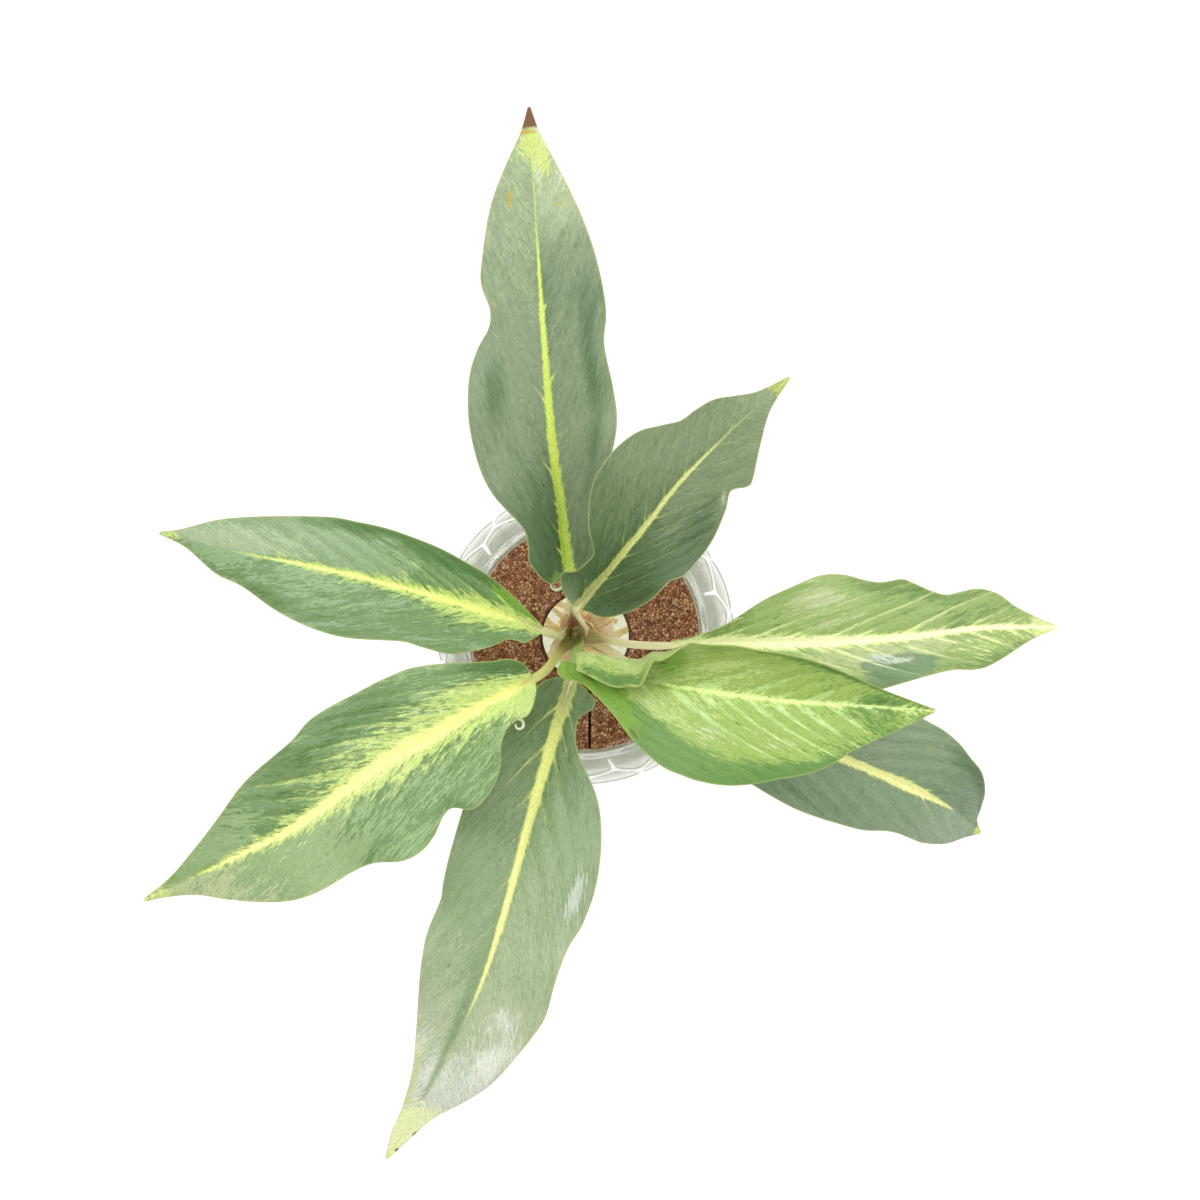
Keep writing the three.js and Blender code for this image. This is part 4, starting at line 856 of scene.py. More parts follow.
def makeLeafUnder(name, look):
    # the matt, paler underside of the same leaf, with its midrib standing out
    settings = {**bladeSettings, **look}
    material, add, setShader = newMaterial("leaf underside " + name, Roughness=0.55, IOR=1.4,
                                           Subsurface_Weight=0.06, Subsurface_Scale=0.002)
    noise = addStretchedNoise(add, add("UVMap", uv_map="veins"), (40, 12), 5, 0.6)
    base = add("ValToRGB", noise, stops=[(0.3, settings["underColour"]),
                                         (0.7, settings["limeColour"])])
    # field, where in mm the colour starts and is full, how full, and the colour
    # darker green away from the margin is painted shade; the pale rim is partly the leaf's paler
    # edge and partly a painted highlight
    for key, start, end, full, colour in (("margin", 3, 11, 0.55, settings["greens"][2]),
                                          ("margin", 2.6, 0.8, 0.7, settings["glareColour"]),
                                          ("rib", 2.2, 1.4, 0.8, settings["stripeColour"])):
        distance = add("Attribute", attribute_name=key, out=2)
        base = add("Mix RGBA", add("MapRange", distance, start, end, 0, full), base, colour)
    setShader(Base_Color=base, Normal=add("Bump", Strength=0.2, Distance=0.0003, Height=noise))
    return material


# Hooks: short strips of margin that roll up on themselves

hookSettings = {
    # foot is its (v, u) on the blade, ring the radius, and bearing goes from its middle to the foot
    "southwest": {"foot": (0.098, 0.99), "ring": 2.7, "bearing": 165, "turns": -1},
    "north": {"foot": (0.008, 0.99), "ring": 3.5, "bearing": 58, "turns": -0.8},
    "thick": 0.75, "tall": 1.2, "rise": 1.5, "colour": "#9ab470", "paleColour": "#d9e4bc",
}


def makeHook(name):
    settings = {**hookSettings, **hookSettings[name]}
    v, u = settings["foot"]
    foot = bladeSurface(leafPlans[name], np.array([v]), np.array([u]))[0][0]
    middle = foot - settings["ring"] * bearingVector(settings["bearing"])
    t = np.linspace(0, 1, 60)
    turn = math.radians(settings["bearing"]) + t * settings["turns"] * 2 * math.pi
    ring = settings["ring"] * (1 - 0.62 * t)
    path = middle + np.column_stack([*polar(ring, turn), settings["rise"] * t])

    def section(turn, v):
        size = 1 - 0.45 * v
        return settings["thick"] * np.cos(turn) * size, settings["tall"] * np.sin(turn) * size

    piece = sweep("hook_" + name, 16, path, up, section)
    material, add, setShader = newMaterial("rolled leaf margin " + name, Roughness=0.45, IOR=1.4)
    along = add("SeparateXYZ", add("UVMap", uv_map="UVMap"), out=1)
    setShader(Base_Color=add("ValToRGB", along, stops=[(0.1, settings["colour"]),
                                                       (0.5, settings["paleColour"])]))
    finishPiece(piece, "leaf", [], material)


# Petioles: a folded sheath at the cane that narrows to a grooved stalk and runs on under the midrib

petioleSettings = {
    "rows": 72, "around": 32,
    "runOn": 0.09, "runRows": 9, "under": 0.9,  # how far it goes on under the midrib, as a share
    "gutter": (2.8, 2.2), "gutterLength": 24,  # mm along the stalk
    "wrapRadius": 6.3, "wrap": 105, "wall": 0.9,  # the sheath's own section round the cane
    "wrapTaper": 5.8,  # mm of height on the cane for each mm that the sheaths get narrower
    # the last is the strength of painted light on the stalks
    "stalk": (1.9, 1.7), "inset": 3.4, "clasp": 7, "through": 0.1,
    "green": "#bfc67e", "pale": "#dad9a2", "light": "#f3ecca", "olive": "#dcc89c",
    "inner": "#a89c62", "crease": "#84683a",
}
# what differs from leaf to leaf. East and southeast are paler, partly their own cream colour and
# partly painted light against the shade of the leaves above them
petioleLooks = {
    "northeast": {"stalk": (1.6, 1.5), "pale": "#dccf9c", "olive": "#e8c898"},
    "north": {"gutter": (3.4, 2.4), "olive": "#dcae8c", "inner": "#a87c5c", "crease": "#7c4f34"},
    "east": {"stalk": (1.65, 1.5), "green": "#d8dca4", "pale": "#ebe4b2", "light": "#fcf6d6",
             "olive": "#f0e4b8", "inner": "#d6ca90", "crease": "#93804a"},
    "southeast": {"pale": "#ece4b8", "light": "#fff4d8", "olive": "#f6e6bc", "inner": "#f0dcae"},
    "young": {"stalk": (3.1, 2.5), "inset": 0.6, "clasp": 0.5, "green": "#748f3e",
              "pale": "#93ac57", "light": "#b8cc84", "olive": "#86904a", "inner": "#667636",
              "crease": "#515e28"},
    "southwest": {"green": "#a8b054", "pale": "#c9c974", "light": "#e0df9a", "olive": "#b8ae62",
                  "crease": "#74702e"},
    "west": {"stalk": (1.7, 1.5), "green": "#a9ae66", "pale": "#c8c48c", "olive": "#8c8348",
             "crease": "#5c5226"},
}


def petiolePath(plan, settings):
    height, bearing = plan["socket"]
    outward = bearingVector(bearing)
    below, runRows = settings["under"], settings["runRows"]
    middle = bladeSurface(plan, np.array([0.0, 0.02]), np.zeros(2))[0]
    end = middle[0] - up * below
    start = np.append(crown, lidTop + height) + outward * settings["inset"]
    length = np.linalg.norm(end - start)
    spread = np.linalg.norm((end - start)[:2]) / length
    rising, onwards = unit(outward * spread + up), unit(middle[1] - middle[0])
    handles = [start, start + rising * length * 0.35, end - onwards * plan["bow"], end]
    t = np.linspace(0, 1, settings["rows"] + 1 - runRows)[:, None]
    weights = [(1 - t) ** 3, 3 * t * (1 - t) ** 2, 3 * t ** 2 * (1 - t), t ** 3]
    stalk = sum(weight * handle for weight, handle in zip(weights, handles))
    v = np.linspace(0, settings["runOn"], runRows + 1)[1:]
    under = bladeSurface(plan, v, np.zeros(runRows))[0]
    under -= up * np.linspace(below, below + 0.2, runRows)[:, None]
    return np.vstack([stalk, under]), outward + up * 0.001


def makePetiole(name, plan):
    settings = {**petioleSettings, **petioleLooks.get(name, {})}
    path, side = petiolePath(plan, settings)
    stalkEnd = 1 - settings["runRows"] / (len(path) - 1)
    length = evenLength(path[:-settings["runRows"]])
    clasp, gutterLength, inset = (settings[key] for key in ("clasp", "gutterLength", "inset"))

    def section(turn, v):
        # an open sheath round the cane that closes into an oval stalk with a shallow groove
        along = v / stalkEnd
        mmAlong = along * length
        blend = 0.75 * ease(0, clasp, mmAlong) + 0.25 * ease(clasp * 0.7, gutterLength, mmAlong)
        taper = 1 - ease(4, gutterLength, mmAlong)
        wide, deep = (stalk + (gutter - stalk) * taper
                      for stalk, gutter in zip(settings["stalk"], settings["gutter"]))
        narrowing = 1 - 0.75 * ease(1, 1 / stalkEnd, along)
        outer = np.sin(turn) > 0
        groove = 0.55 + 0.95 * taper  # over 1 the upper side is a channel
        a = wide * np.cos(turn) * narrowing
        b = deep * np.sin(turn) * np.where(outer, 1, 1 - groove) * narrowing
        radius = settings["wrapRadius"] - plan["socket"][0] / settings["wrapTaper"]
        radius = radius - np.where(outer, 0, settings["wall"] * np.abs(np.sin(turn)))
        lean = np.cos(turn) * math.radians(settings["wrap"])
        around = radius * np.sin(lean)
        outwards = radius * np.cos(lean) - inset
        return around + (a - around) * blend, outwards + (b - outwards) * blend

    piece = sweep("stalk_" + name, settings["around"], path, side, section)
    finishPiece(piece, "petiole", ["petiole_" + name], makePetioleSkin(name, settings))


def makePetioleSkin(name, settings):
    # smooth, water-filled stalk: satin, streaked lengthwise, greener towards the blade
    material, add, setShader = newMaterial("satin leaf stalk " + name, Roughness=0.4, IOR=1.4,
                                           Subsurface_Weight=0.12, Subsurface_Scale=0.002)
    place = add("UVMap", uv_map="UVMap")
    across = add("SeparateXYZ", place)
    along = across.node.outputs["Y"]
    streaks = addStretchedNoise(add, place, (16, 2.5), 5, 0.6)
    base = add("ValToRGB", streaks, stops=[
        (0.25, settings["green"]), (0.5, settings["pale"]), (0.75, settings["light"])])
    foot = add("Math MULTIPLY", add("MapRange", along, 0.4, 0.1, 0, 1.5), streaks)
    base = add("Mix RGBA", foot, base, settings["olive"])
    # the inside of the open sheath is darker: painted shade in its hollow
    across = add("Math ABSOLUTE", add("Math SUBTRACT", across, 0.25))
    inner = add("Math MULTIPLY", add("MapRange", across, 0.2, 0.1, 0, 0.8),
                add("MapRange", along, 0.35, 0.2, 0, 1))
    base = add("Mix RGBA", inner, base, settings["inner"])
    # brown streaks along the sheath towards its foot: partly the sheath's own colour and partly
    # painted shade in the seams of the crown
    creases = addStretchedNoise(add, place, (20, 2.2), 4, 0.6, (3, len(name)))
    creases = add("Math MULTIPLY", add("MapRange SMOOTHSTEP", creases, 0.48, 0.39, 0, 0.8),
                  add("MapRange", along, 0.5, 0.25, 0, 1))
    base = add("Mix RGBA", creases, base, settings["crease"])
    height = add("Math MULTIPLY_ADD", creases, -2, streaks)
    # the emission is painted light that brightens the stalks where the leaves above shade them
    setShader(Base_Color=base, Emission_Color=base, Emission_Strength=settings["through"],
              Normal=add("Bump", Strength=0.4, Distance=0.0005, Height=height))
    return material


# Cane and dry sheaths

caneSettings = {
    "radius": 5.9, "bud": 25, "scars": 6, "scarHeight": 0.2, "rows": 96, "around": 48,
    "neck": (-2, 20, 4.2), "point": (20, 25, 1.2),  # from and to over the lid, mm narrower
    "colour": "#c3bf84", "scarColour": "#a08a5c",
}
sheathSettings = {
    "pieces": {
        "dry_sheath_east": {"bearing": 22, "wrap": 110, "foot": -22, "top": 0, "lean": 8.5,
                            "close": 0.7, "colour": "#fbe6bc"},
        "dry_sheath_north": {"bearing": 118, "wrap": 100, "foot": -18, "top": 3, "lean": 3,
                             "close": 0.85, "colour": "#ecc8a0"},
        "dry_sheath_south": {"bearing": -130, "wrap": 110, "foot": -20, "top": -2, "lean": 7,
                             "close": 0.7, "colour": "#f2e2bc"},
    },
    "gap": 0.6, "thickness": 0.7, "crumple": 0.35, "columns": 30, "rows": 48, "paintedSheathGlow": 0.15,
    "rust": "#c8804a", "tan": "#eab878", "straw": "#fbf2d8",
}


def makeCane():
    settings = caneSettings
    tip = lidTop + settings["bud"]
    path = np.linspace(np.append(crown / 2, caneFoot), np.append(crown, tip), settings["rows"])

    def section(turn, v):
        height = caneFoot + v * (tip - caneFoot)
        ring = np.cos(2 * np.pi * v * settings["scars"]) * (v < 0.5)
        radius = settings["radius"] - settings["scarHeight"] + settings["scarHeight"] * ring
        for low, high, narrower in (settings["neck"], settings["point"]):
            radius = radius - narrower * ease(lidTop + low, lidTop + high, height)
        return polar(radius, turn)

    piece = sweep("stem_cane", settings["around"], path, north, section)
    material, add, setShader = newMaterial("ringed green cane", Roughness=0.5, IOR=1.4)
    noise = addStretchedNoise(add, add("UVMap", uv_map="UVMap"), (6, 24), 5)
    setShader(Base_Color=add("ValToRGB", noise, stops=[(0.35, settings["scarColour"]),
                                                       (0.6, settings["colour"])]))
    finishPiece(piece, "cane", ["cane"], material)


def makeDrySheath(name, sheath):
    settings = sheathSettings
    piece, u, v = addGrid(name + "_skin", settings["columns"], settings["rows"])
    height = lidTop + sheath["foot"] + (sheath["top"] - sheath["foot"]) * v
    share = (height - caneFoot) / (caneTop - caneFoot)
    centre = crown * (0.5 + 0.5 * share)[:, None]
    spread = math.radians(sheath["wrap"] / 2) * (1 - sheath["close"] * v ** 2.2)
    turn = math.radians(sheath["bearing"]) - spread * u
    crumple = settings["crumple"] * np.sin(9 * u + 3 * v) * np.sin(11 * v + 2 * u) * ease(0, 0.3, v)
    out = caneSettings["radius"] + settings["gap"] + sheath["lean"] * v ** 2 + crumple
    out = out + settings["thickness"]
    level = centre + np.column_stack(polar(out, turn))
    setPlaces(piece, np.column_stack([level, height]))
    setMap(piece, "UVMap", u / 2 + 0.5, v)
    addModifier(piece, "SOLIDIFY", thickness=settings["thickness"] * mm, offset=-1)
    editAll(piece, faceOut)
    shadeSmooth()
    # dry plant fibre: matt and streaked lengthwise. Its pale colours are partly its own and partly
    # painted light, and its faint glow is painted light against the shade of the leaves above
    material, add, setShader = newMaterial("papery old sheath " + name, Roughness=0.6, IOR=1.4)
    fibres = addStretchedNoise(add, add("UVMap", uv_map="UVMap"), (14, 1.6), 6, 0.7)
    base = add("ValToRGB", fibres, stops=[(0.3, settings["rust"]), (0.42, settings["tan"]),
                                          (0.52, sheath["colour"]), (0.72, settings["straw"])])
    setShader(Base_Color=base, Emission_Color=base, Emission_Strength=settings["paintedSheathGlow"],
              Normal=add("Bump", Strength=0.5, Distance=0.0005, Height=fibres))
    finishPiece(piece, "dry_sheath", [name], material)


# Cork lid

corkSettings = {
    "taper": 1.2, "holeRadius": 19.3, "round": 0.9,
    "slit": 1.1, "slitEast": 1.8, "seam": 0.3,  # seam: how far the halves meet lower down
    "around": 64, "rows": 180,
    "granule": 1.3, "pit": 4, "pitDepth": 0.3, "holeShadow": (1.2, 0.3),  # painted shadow round the hole, in mm from the hole's edge
    "dark": "#4f2b19",
    "granules": [(0, "#834e32"), (0.2, "#b87650"), (0.45, "#d09064"), (0.75, "#e4a982"),
                 (1, "#fac8a2")],
}


def makeCorkHalf(name, side, material):
    settings = corkSettings
    piece, u, v = addGrid(name + "_grain", settings["around"], settings["rows"])
    edge = settings["slitEast"] + side * settings["slit"] / 2
    hole = settings["holeRadius"]

    def arc(radius):
        # points round half a ring, from the slit back to the slit
        limit = math.acos(edge / radius)
        start, end = (-limit, limit) if side > 0 else (limit, 2 * math.pi - limit)
        turn = start + (end - start) * v
        return np.column_stack(polar(radius, turn))

    # the section is a rectangle with its corners drawn in: u goes once round it
    wide, deep = lidRadius - hole, lidTop - lidFoot
    corners = np.concatenate([[0], np.cumsum([wide, deep, wide, deep])]) / (2 * (wide + deep))
    place = (u + 1) / 2
    across = np.interp(place, corners, [0, 1, 1, 0, 0]) * wide
    height = np.interp(place, corners, [0, 0, 1, 1, 0]) * deep
    near = np.maximum(np.minimum(across, wide - across), np.minimum(height, deep - height))
    inwards = np.maximum(settings["round"] - near, 0) * 0.42
    across = across + inwards * np.where(across < wide / 2, 1, -1)
    height = height + inwards * np.where(height < deep / 2, 1, -1)
    level = arc(hole) + (arc(lidRadius) - arc(hole)) * (across / wide)[:, None]
    level = level * (1 - settings["taper"] / lidRadius * (1 - height / deep))[:, None]
    ends = (v < 0.001) | (v > 0.999)
    gap = settings["slit"] * 1.1 * ease(0.5, 1, height / deep) - settings["seam"]
    level[:, 0] = np.where(ends, settings["slitEast"] + side * gap / 2, level[:, 0])
    setPlaces(piece, np.column_stack([level, lidFoot + height]))
    setMap(piece, "UVMap", place, v)
    closeTube(piece)
    grain = bpy.data.textures.new("corkPits", "CLOUDS")
    grain.noise_scale = settings["pit"] * mm
    grain.noise_depth = 3
    addModifier(piece, "DISPLACE", texture=grain, texture_coords="LOCAL",
                strength=settings["pitDepth"] * mm, mid_level=1)
    finishPiece(piece, "cork", [name], material)


def makeCork():
    # pressed cork granules: 1 to 2 mm grains of several browns with dark gaps, dull and rough
    settings = corkSettings
    material, add, setShader = newMaterial("pressed cork granules", Roughness=0.9, IOR=1.4)
    place = add("TexCoord", out=3)
    warp = add("TexNoise", Vector=place, Scale=500, Detail=2, out=1)
    warped = add("VectorMath MULTIPLY", warp, (0.0008, 0.0008, 0.0008))
    warped = add("VectorMath ADD", place, warped)
    scale = 1000 / settings["granule"]
    cells = add("TexVoronoi", Vector=warped, Scale=scale, out=1)
    gaps = add("TexVoronoi", Vector=warped, Scale=scale, feature="DISTANCE_TO_EDGE")
    base = add("ValToRGB", add("SeparateXYZ", cells), stops=settings["granules"])
    fine = add("TexNoise", Vector=place, Scale=2200, Detail=2)
    radius = add("VectorMath LENGTH", add("VectorMath MULTIPLY", place, (1, 1, 0)))
    holeShadow = [settings["holeRadius"] * mm + distance * mm for distance in settings["holeShadow"]]
    # dark flecks, the gaps between granules, and painted shadow round the edge of the hole
    for value, start, end, full in ((fine, 0.54, 0.64, 0.7), (gaps, 0.14, 0.03, 0.9),
                                    (radius, *holeShadow, 0.8)):
        base = add("Mix RGBA", add("MapRange", value, start, end, 0, full), base, settings["dark"])
    height = add("MapRange", gaps, 0, 0.25, 0, 1)
    setShader(Base_Color=base, Normal=add("Bump", Strength=0.7, Distance=0.0005, Height=height))
    makeCorkHalf("cork_half_west", -1, material)
    makeCorkHalf("cork_half_east", 1, material)
    print("cork lid made")


# Glass jar with a raised net, and the water in it

jarSettings = {
    "outer": [(53.6, 112.5), (57.8, 109.6), (62.9, 103), (66.1, 92), (66.8, 78), (65.8, 60),
              (62.4, 40), (56.8, 22), (49.7, 8), (44.6, 2)],
    "inner": [(50.5, rimTop - 1.2), (49.8, 110), (53.5, 106.5), (58.8, 100.5), (62.4, 91),
              (63.4, 78), (62.4, 60), (59, 41), (53.5, 24), (47, 11), (41, 6), (30, 4.5),
              (15, 4.2)],
    "lipMiddle": 52.2,
    # the lip's section: out from its middle, and up from the rim
    "lip": [(1.7, -4.6), (1.9, -3), (1.7, -1.2), (0.9, -0.1), (-0.7, 0.1)],
    "base": [(41.5, 0.35), (40, 0), (38, 0), (15, 0)],
    "cells": 18, "rows": 6, "seed": 7, "ridge": 0.9, "dent": 0.15,
    "zigzag": 1 / 6, "sideways": 0.5, "down": 0.3,  # the net's corners, in parts of a cell
    "rowShares": [0, 0.09, 0.235, 0.4, 0.58, 0.78, 1],  # heights of the net's rows along the wall
    "split": 3,  # parts of each cell's side
    "rings": [(0.4, 0.85), (0.85, 0.1), (1.6, 0), (5, 0)],  # in from the ridge, share of its height
    "mostInset": 0.6,
    "glassColour": "#d8dbd0", "paintedRidgeHighlight": "#ffffff", "waterColour": "#f4f2e0",
    "paintedLight": 0.3, "paintedGlassGlow": "#6c6e68",  # painted light: a faint glow on the glass, white on its ridges
}


def seededDraws(seed):
    # the CAD model draws its net and roots from the same run of numbers
    state = seed
    while True:
        state = (state * 1664525 + 1013904223) % 4294967296
        yield state / 4294967296


def wallPoint(angle, share, raised):
    # a point on the jar's outer wall, or raised off it
    shares = (max(share - 0.02, 0), share, min(share + 0.02, 1))
    before, here, after = (evenCurve(jarSettings["outer"], place) for place in shares)
    run = after - before
    radius, height = here + raised * np.array([-run[1], run[0]]) / math.hypot(*run)
    return radius * math.cos(angle), radius * math.sin(angle), height


def bridge(first, second):
    # faces between two rings of points
    after = [*range(1, len(first)), 0]
    return [(first[k], first[n], second[n], second[k]) for k, n in enumerate(after)]


def fan(ring, middle):
    return [(ring[k - 1], ring[k], middle) for k in range(len(ring))]


def makeJarMesh():
    settings = jarSettings
    rows, split, count = settings["rows"], settings["split"], 2 * settings["cells"]
    places, faces, ridges = [], [], []
    draws = seededDraws(settings["seed"])

    def ridgeAt(share):
        return min(1, 30 * min(share, 1 - share))

    def addPoint(angle, share, ridge):
        raised = ridge * settings["ridge"] if ridge >= 0 else -settings["dent"]
        places.append(wallPoint(angle, share, raised))
        ridges.append(max(ridge, 0))
        return len(places) - 1

    nodes = []
    for j in range(rows + 1):
        border = j in (0, rows)
        line = []
        for i in range(count):
            zigzag = settings["zigzag"] if i % 2 == j % 2 else -settings["zigzag"]
            sideways = (next(draws) - 0.5) * settings["sideways"]
            down = zigzag + (next(draws) - 0.5) * settings["down"]
            if border:
                sideways = down = 0
            angle = (i + sideways) / count * 2 * math.pi
            share = np.interp(j + down, range(rows + 1), settings["rowShares"])
            line.append((angle, share, addPoint(angle, share, ridgeAt(share))))
        nodes.append(line)
    between = {}

    def addSide(start, end):
        # the points from one corner up to the next, shared by the cells on both sides
        first, last = start[2], end[2]
        mixes = [[a + (b - a) * k / split for a, b in zip(start, end[:2])] for k in range(1, split)]
        if (first, last) not in between:
            between[first, last] = [addPoint(*mix, ridgeAt(mix[1])) for mix in mixes]
            between[last, first] = between[first, last][::-1]
        return [start] + [(*mix, index) for mix, index in zip(mixes, between[first, last])]

    wallLength = evenLength(settings["outer"])
    for j in range(rows):
        for i in range(j % 2, count, 2):
            corners = []
            for below, k in ((0, i), (1, i), (1, i + 1), (1, i + 2), (0, i + 2), (0, i + 1)):
                angle, share, index = nodes[j + below][k % count]
                corners.append((angle + (2 * math.pi if k >= count else 0), share, index))
            sides = [addSide(corners[k], corners[(k + 1) % 6]) for k in range(6)]
            outline = [point for side in sides for point in side]
            middleAngle, middleShare = (sum(corner[k] for corner in corners) / 6 for k in (0, 1))
            middleRadius = evenCurve(settings["outer"], middleShare)[0]
            last = [point[2] for point in outline]
            for inset, height in settings["rings"]:
                ring = []
                for angle, share, _ in outline:
                    away = math.hypot((angle - middleAngle) * middleRadius,
                                      (share - middleShare) * wallLength)
                    keep = 1 - min(inset / away, settings["mostInset"])
                    ring.append(addPoint(middleAngle + (angle - middleAngle) * keep,
                                         middleShare + (share - middleShare) * keep,
                                         height * ridgeAt(share)))
                faces += bridge(last, ring)
                last = ring
            faces += fan(last, addPoint(middleAngle, middleShare, -1))

    def borderRing(line):
        indices = [point[2] for point in line]
        ring = []
        for start, end in zip(indices, indices[1:] + indices[:1]):
            ring += [start] + between[start, end]
        return ring

    def addRings(ring, profile, outwards):
        # rings of points on from a border of the net, closed by one point in the middle
        for radius, height in profile:
            last, ring = ring, list(range(len(places), len(places) + len(ring)))
            for k in range(len(ring)):
                angle = k / len(ring) * 2 * math.pi
                places.append((radius * math.cos(angle), radius * math.sin(angle), height))
            faces.extend(bridge(last, ring) if outwards else bridge(ring, last))
        places.append((0, 0, height))
        faces.extend(fan(ring if outwards else ring[::-1], len(places) - 1))

    lip = [(settings["lipMiddle"] + out, rimTop + rise) for out, rise in settings["lip"]]
    addRings(borderRing(nodes[0]), lip + settings["inner"], True)
    addRings(borderRing(nodes[rows]), settings["base"], False)
    return places, faces, ridges + [0] * (len(places) - len(ridges))


def makeJar():
    # clear pressed soda-lime glass, faintly green, with sharp highlights from its coat on a raised
    # net of ridges; the ridges are painted white and glow as painted highlights
    settings = jarSettings
    places, faces, ridges = makeJarMesh()
    mesh = bpy.data.meshes.new("net_jar")
    mesh.from_pydata([[c * mm for c in place] for place in places], [], faces)
    piece = bpy.data.objects.new("net_jar", mesh)
    bpy.context.scene.collection.objects.link(piece)
    bpy.ops.object.select_all(action="DESELECT")
    piece.select_set(True)
    setField(piece, "ridge", ridges)
    addModifier(piece, "SUBSURF", levels=1, render_levels=1)
    editAll(piece, faceOut)
    bpy.ops.object.shade_smooth()
    material, add, setShader = newMaterial("clear pressed glass", Roughness=0.1, IOR=1.47,
                                           Coat_Weight=0.6, Coat_Roughness=0.04)
    ridge = add("Attribute", attribute_name="ridge", out=2)
    base, glow = (add("ValToRGB", ridge, stops=[(0.3, settings[key]), (0.6, settings["paintedRidgeHighlight"])])
                  for key in ("glassColour", "paintedGlassGlow"))
    # the ridges are less clear, white and glowing white: painted highlights. The rest glows faintly
    # with painted light
    setShader(Base_Color=base, Emission_Color=glow, Emission_Strength=settings["paintedLight"],
              Transmission_Weight=add("MapRange", ridge, 0.3, 0.7, 0.8, 0.15))
    finishPiece(piece, "jar_glass", ["glass_jar"], material)
    print("glass jar made:", len(piece.data.polygons), "faces")


def makeWater():
    # still water that wets the glass: it reaches 0.15 mm into the wall so that no air gap shows
    inner = jarSettings["inner"]
    wet = [(radius + 0.15, height - 0.1) for radius, height in inner if height < waterTop]
    above = [point for point in inner if point[1] >= waterTop][-1]
    below = wet[0]
    share = (waterTop - below[1]) / (above[1] - below[1])
    surface = below[0] + (above[0] - below[0]) * share
    top = [(radius, waterTop) for radius in (0.01, surface * 0.5, surface - 0.6, surface)]
    profile = np.array(top + wet + [(0.01, 4.15)])
    rows = len(profile) - 1
    piece, u, v = addGrid("jar_water", 96, rows)
    radius, height = profile[np.round(v * rows).astype(int)].T
    setPlaces(piece, np.column_stack([*polar(radius, u * np.pi), height]))
    closeTube(piece)
    material = newMaterial("still water", Roughness=0.0, IOR=1.33, Transmission_Weight=1.0,
                           Base_Color=jarSettings["waterColour"])[0]
    finishPiece(piece, "water", ["water"], material)
    print("water made")


# Roots

rootSettings = {
    "count": 9, "seed": 3, "radius": 1.9, "tip": 1.1, "knob": 6.2, "knobTaper": 2.4,
    "rows": 60, "around": 12, "fineSeed": 5,
    # short roots round the knob, and rootlets on each long root, with their least and most
    "crownRoots": 24, "crownReach": (9, 17), "crownDrop": (22, 40), "crownRadius": (1.3, 2.1),
    "rootlets": 5, "rootletReach": (7, 13), "rootletDrop": (4, 12),
    "cream": "#f5da98", "orange": "#ebb26a", "white": "#faecc2",
    "paintedLight": 0.33,  # stands in for the light that the glass gathers on them
}


def floorHeight(radius):
    # the jar's inner floor
    return np.interp(radius, [0, 30, 41], [4.2, 4.5, 6])


def makeRoot(path, radius, tip, around=rootSettings["around"]):
    def section(turn, v):
        return polar(radius + (tip - radius) * v - tip * 0.6 * ease(0.95, 1, v), turn)

    return sweep("root", around, path, north, section)


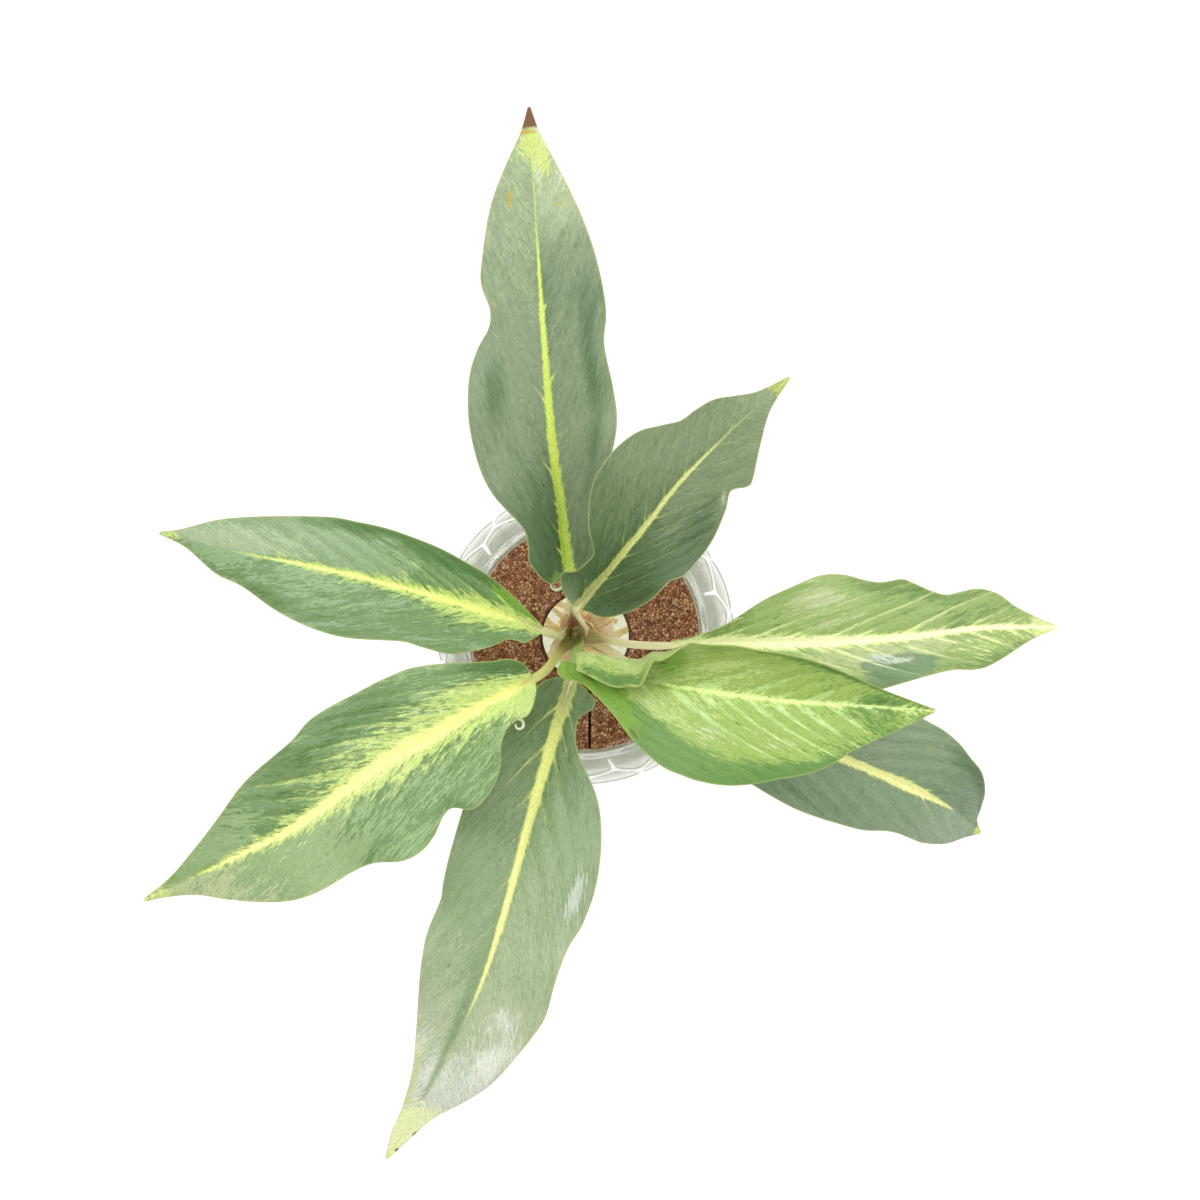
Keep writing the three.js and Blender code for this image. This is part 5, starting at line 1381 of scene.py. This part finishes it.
def makeRoots():
    # fleshy water roots: cream, orange towards the knob, with a faint fuzz
    settings = rootSettings
    draws = seededDraws(settings["seed"])
    foot = np.append(crown / 2, caneFoot)
    path = np.linspace(foot - up * 0.5, foot - up * 16, 20)

    def knobSection(turn, v):
        ribs = 1 + 0.06 * np.sin(5 * turn)
        return polar((settings["knob"] - settings["knobTaper"] * v) * ribs, turn)

    knob = sweep("root_knob", 32, path, north, knobSection)
    pieces = [knob]
    extra = np.random.default_rng(settings["fineSeed"])
    for k in range(settings["crownRoots"]):
        bearing = k * 2.4 + extra.uniform(0, 0.5)
        away = np.array([math.cos(bearing), math.sin(bearing), 0])
        reach = extra.uniform(*settings["crownReach"])
        start = foot + away * 3 - up * extra.uniform(2, 9)
        bend = foot + away * reach * 0.7 - up * extra.uniform(3, 9)
        end = foot + away * reach - up * extra.uniform(*settings["crownDrop"])
        points = [start, bend, bend * 0.4 + end * 0.6 + away * 2, end]
        path = curveAt(points, np.linspace(0, 1, 30))
        pieces.append(makeRoot(path, extra.uniform(*settings["crownRadius"]), 0.7, 10))
    for k in range(settings["count"]):
        bearing = math.radians(k * 360 / settings["count"] + 20 * next(draws))
        start = caneFoot - 5 - 8 * next(draws)
        reach = 27 + 8 * next(draws)
        swing = 0.35 * (next(draws) - 0.5)
        lying = floorHeight(reach) + settings["tip"] + 0.3

        def at(out, height, turn):
            keep = 1 - out / 40
            return (crown[0] / 2 * keep + out * math.cos(bearing + turn),
                    crown[1] / 2 * keep + out * math.sin(bearing + turn), height)

        points = [at(1.5, start, 0), at(reach * 0.26, start - 9, swing),
                  at(reach * 0.45, start - 28, -swing), at(reach * 0.72, lying + 9, swing),
                  at(reach * 0.86, lying + 0.6, 0.5 * swing), at(reach, lying, 0)]
        path = curveAt(points, np.linspace(0, 1, settings["rows"]))
        path[1:-1] += extra.normal(0, 0.12, (settings["rows"] - 2, 3))
        pieces.append(makeRoot(path, settings["radius"], settings["tip"] * 0.8))
        for _ in range(settings["rootlets"]):
            root = path[int(extra.uniform(0.15, 0.75) * settings["rows"])]
            away = extra.normal(0, 1, 3) * (1, 1, 0.3)
            tip = root + unit(away) * extra.uniform(*settings["rootletReach"])
            tip -= up * extra.uniform(*settings["rootletDrop"])
            tip[2] = max(tip[2], 8)
            bent = (root + tip) / 2 + extra.normal(0, 1.2, 3)
            rootlet = curveAt([root, bent, tip], np.linspace(0, 1, 14))
            pieces.append(makeRoot(rootlet, 0.55, 0.25, 7))
    bpy.ops.object.select_all(action="DESELECT")
    for piece in pieces:
        piece.select_set(True)
    bpy.context.view_layer.objects.active = knob
    bpy.ops.object.join()
    knob.name = knob.data.name = "water_roots"
    material, add, setShader = newMaterial("cream water root", Roughness=0.5, IOR=1.38,
                                           Subsurface_Weight=0.1, Subsurface_Scale=0.002)
    noise = add("TexNoise", Vector=add("TexCoord", out=3), Scale=90, Detail=5, Roughness=0.65)
    base = add("ValToRGB", noise, stops=[(0.32, settings["orange"]), (0.5, settings["cream"]),
                                         (0.7, settings["white"])])
    setShader(Base_Color=base, Emission_Color=base, Emission_Strength=settings["paintedLight"],
              Normal=add("Bump", Strength=0.4, Distance=0.0004, Height=noise))
    finishPiece(knob, "root", ["roots"], material)
    print("roots made:", len(pieces), "strands")


addStage()
for leafName, leafPlan in leafPlans.items():
    makeBlade(leafName, leafPlan, leafLooks[leafName])
    makePetiole(leafName, leafPlan)
makeHook("southwest")
makeHook("north")
print("leaves, hooks and petioles made")
makeCane()
for sheathName, sheath in sheathSettings["pieces"].items():
    makeDrySheath(sheathName, sheath)
makeCork()
makeJar()
makeWater()
makeRoots()
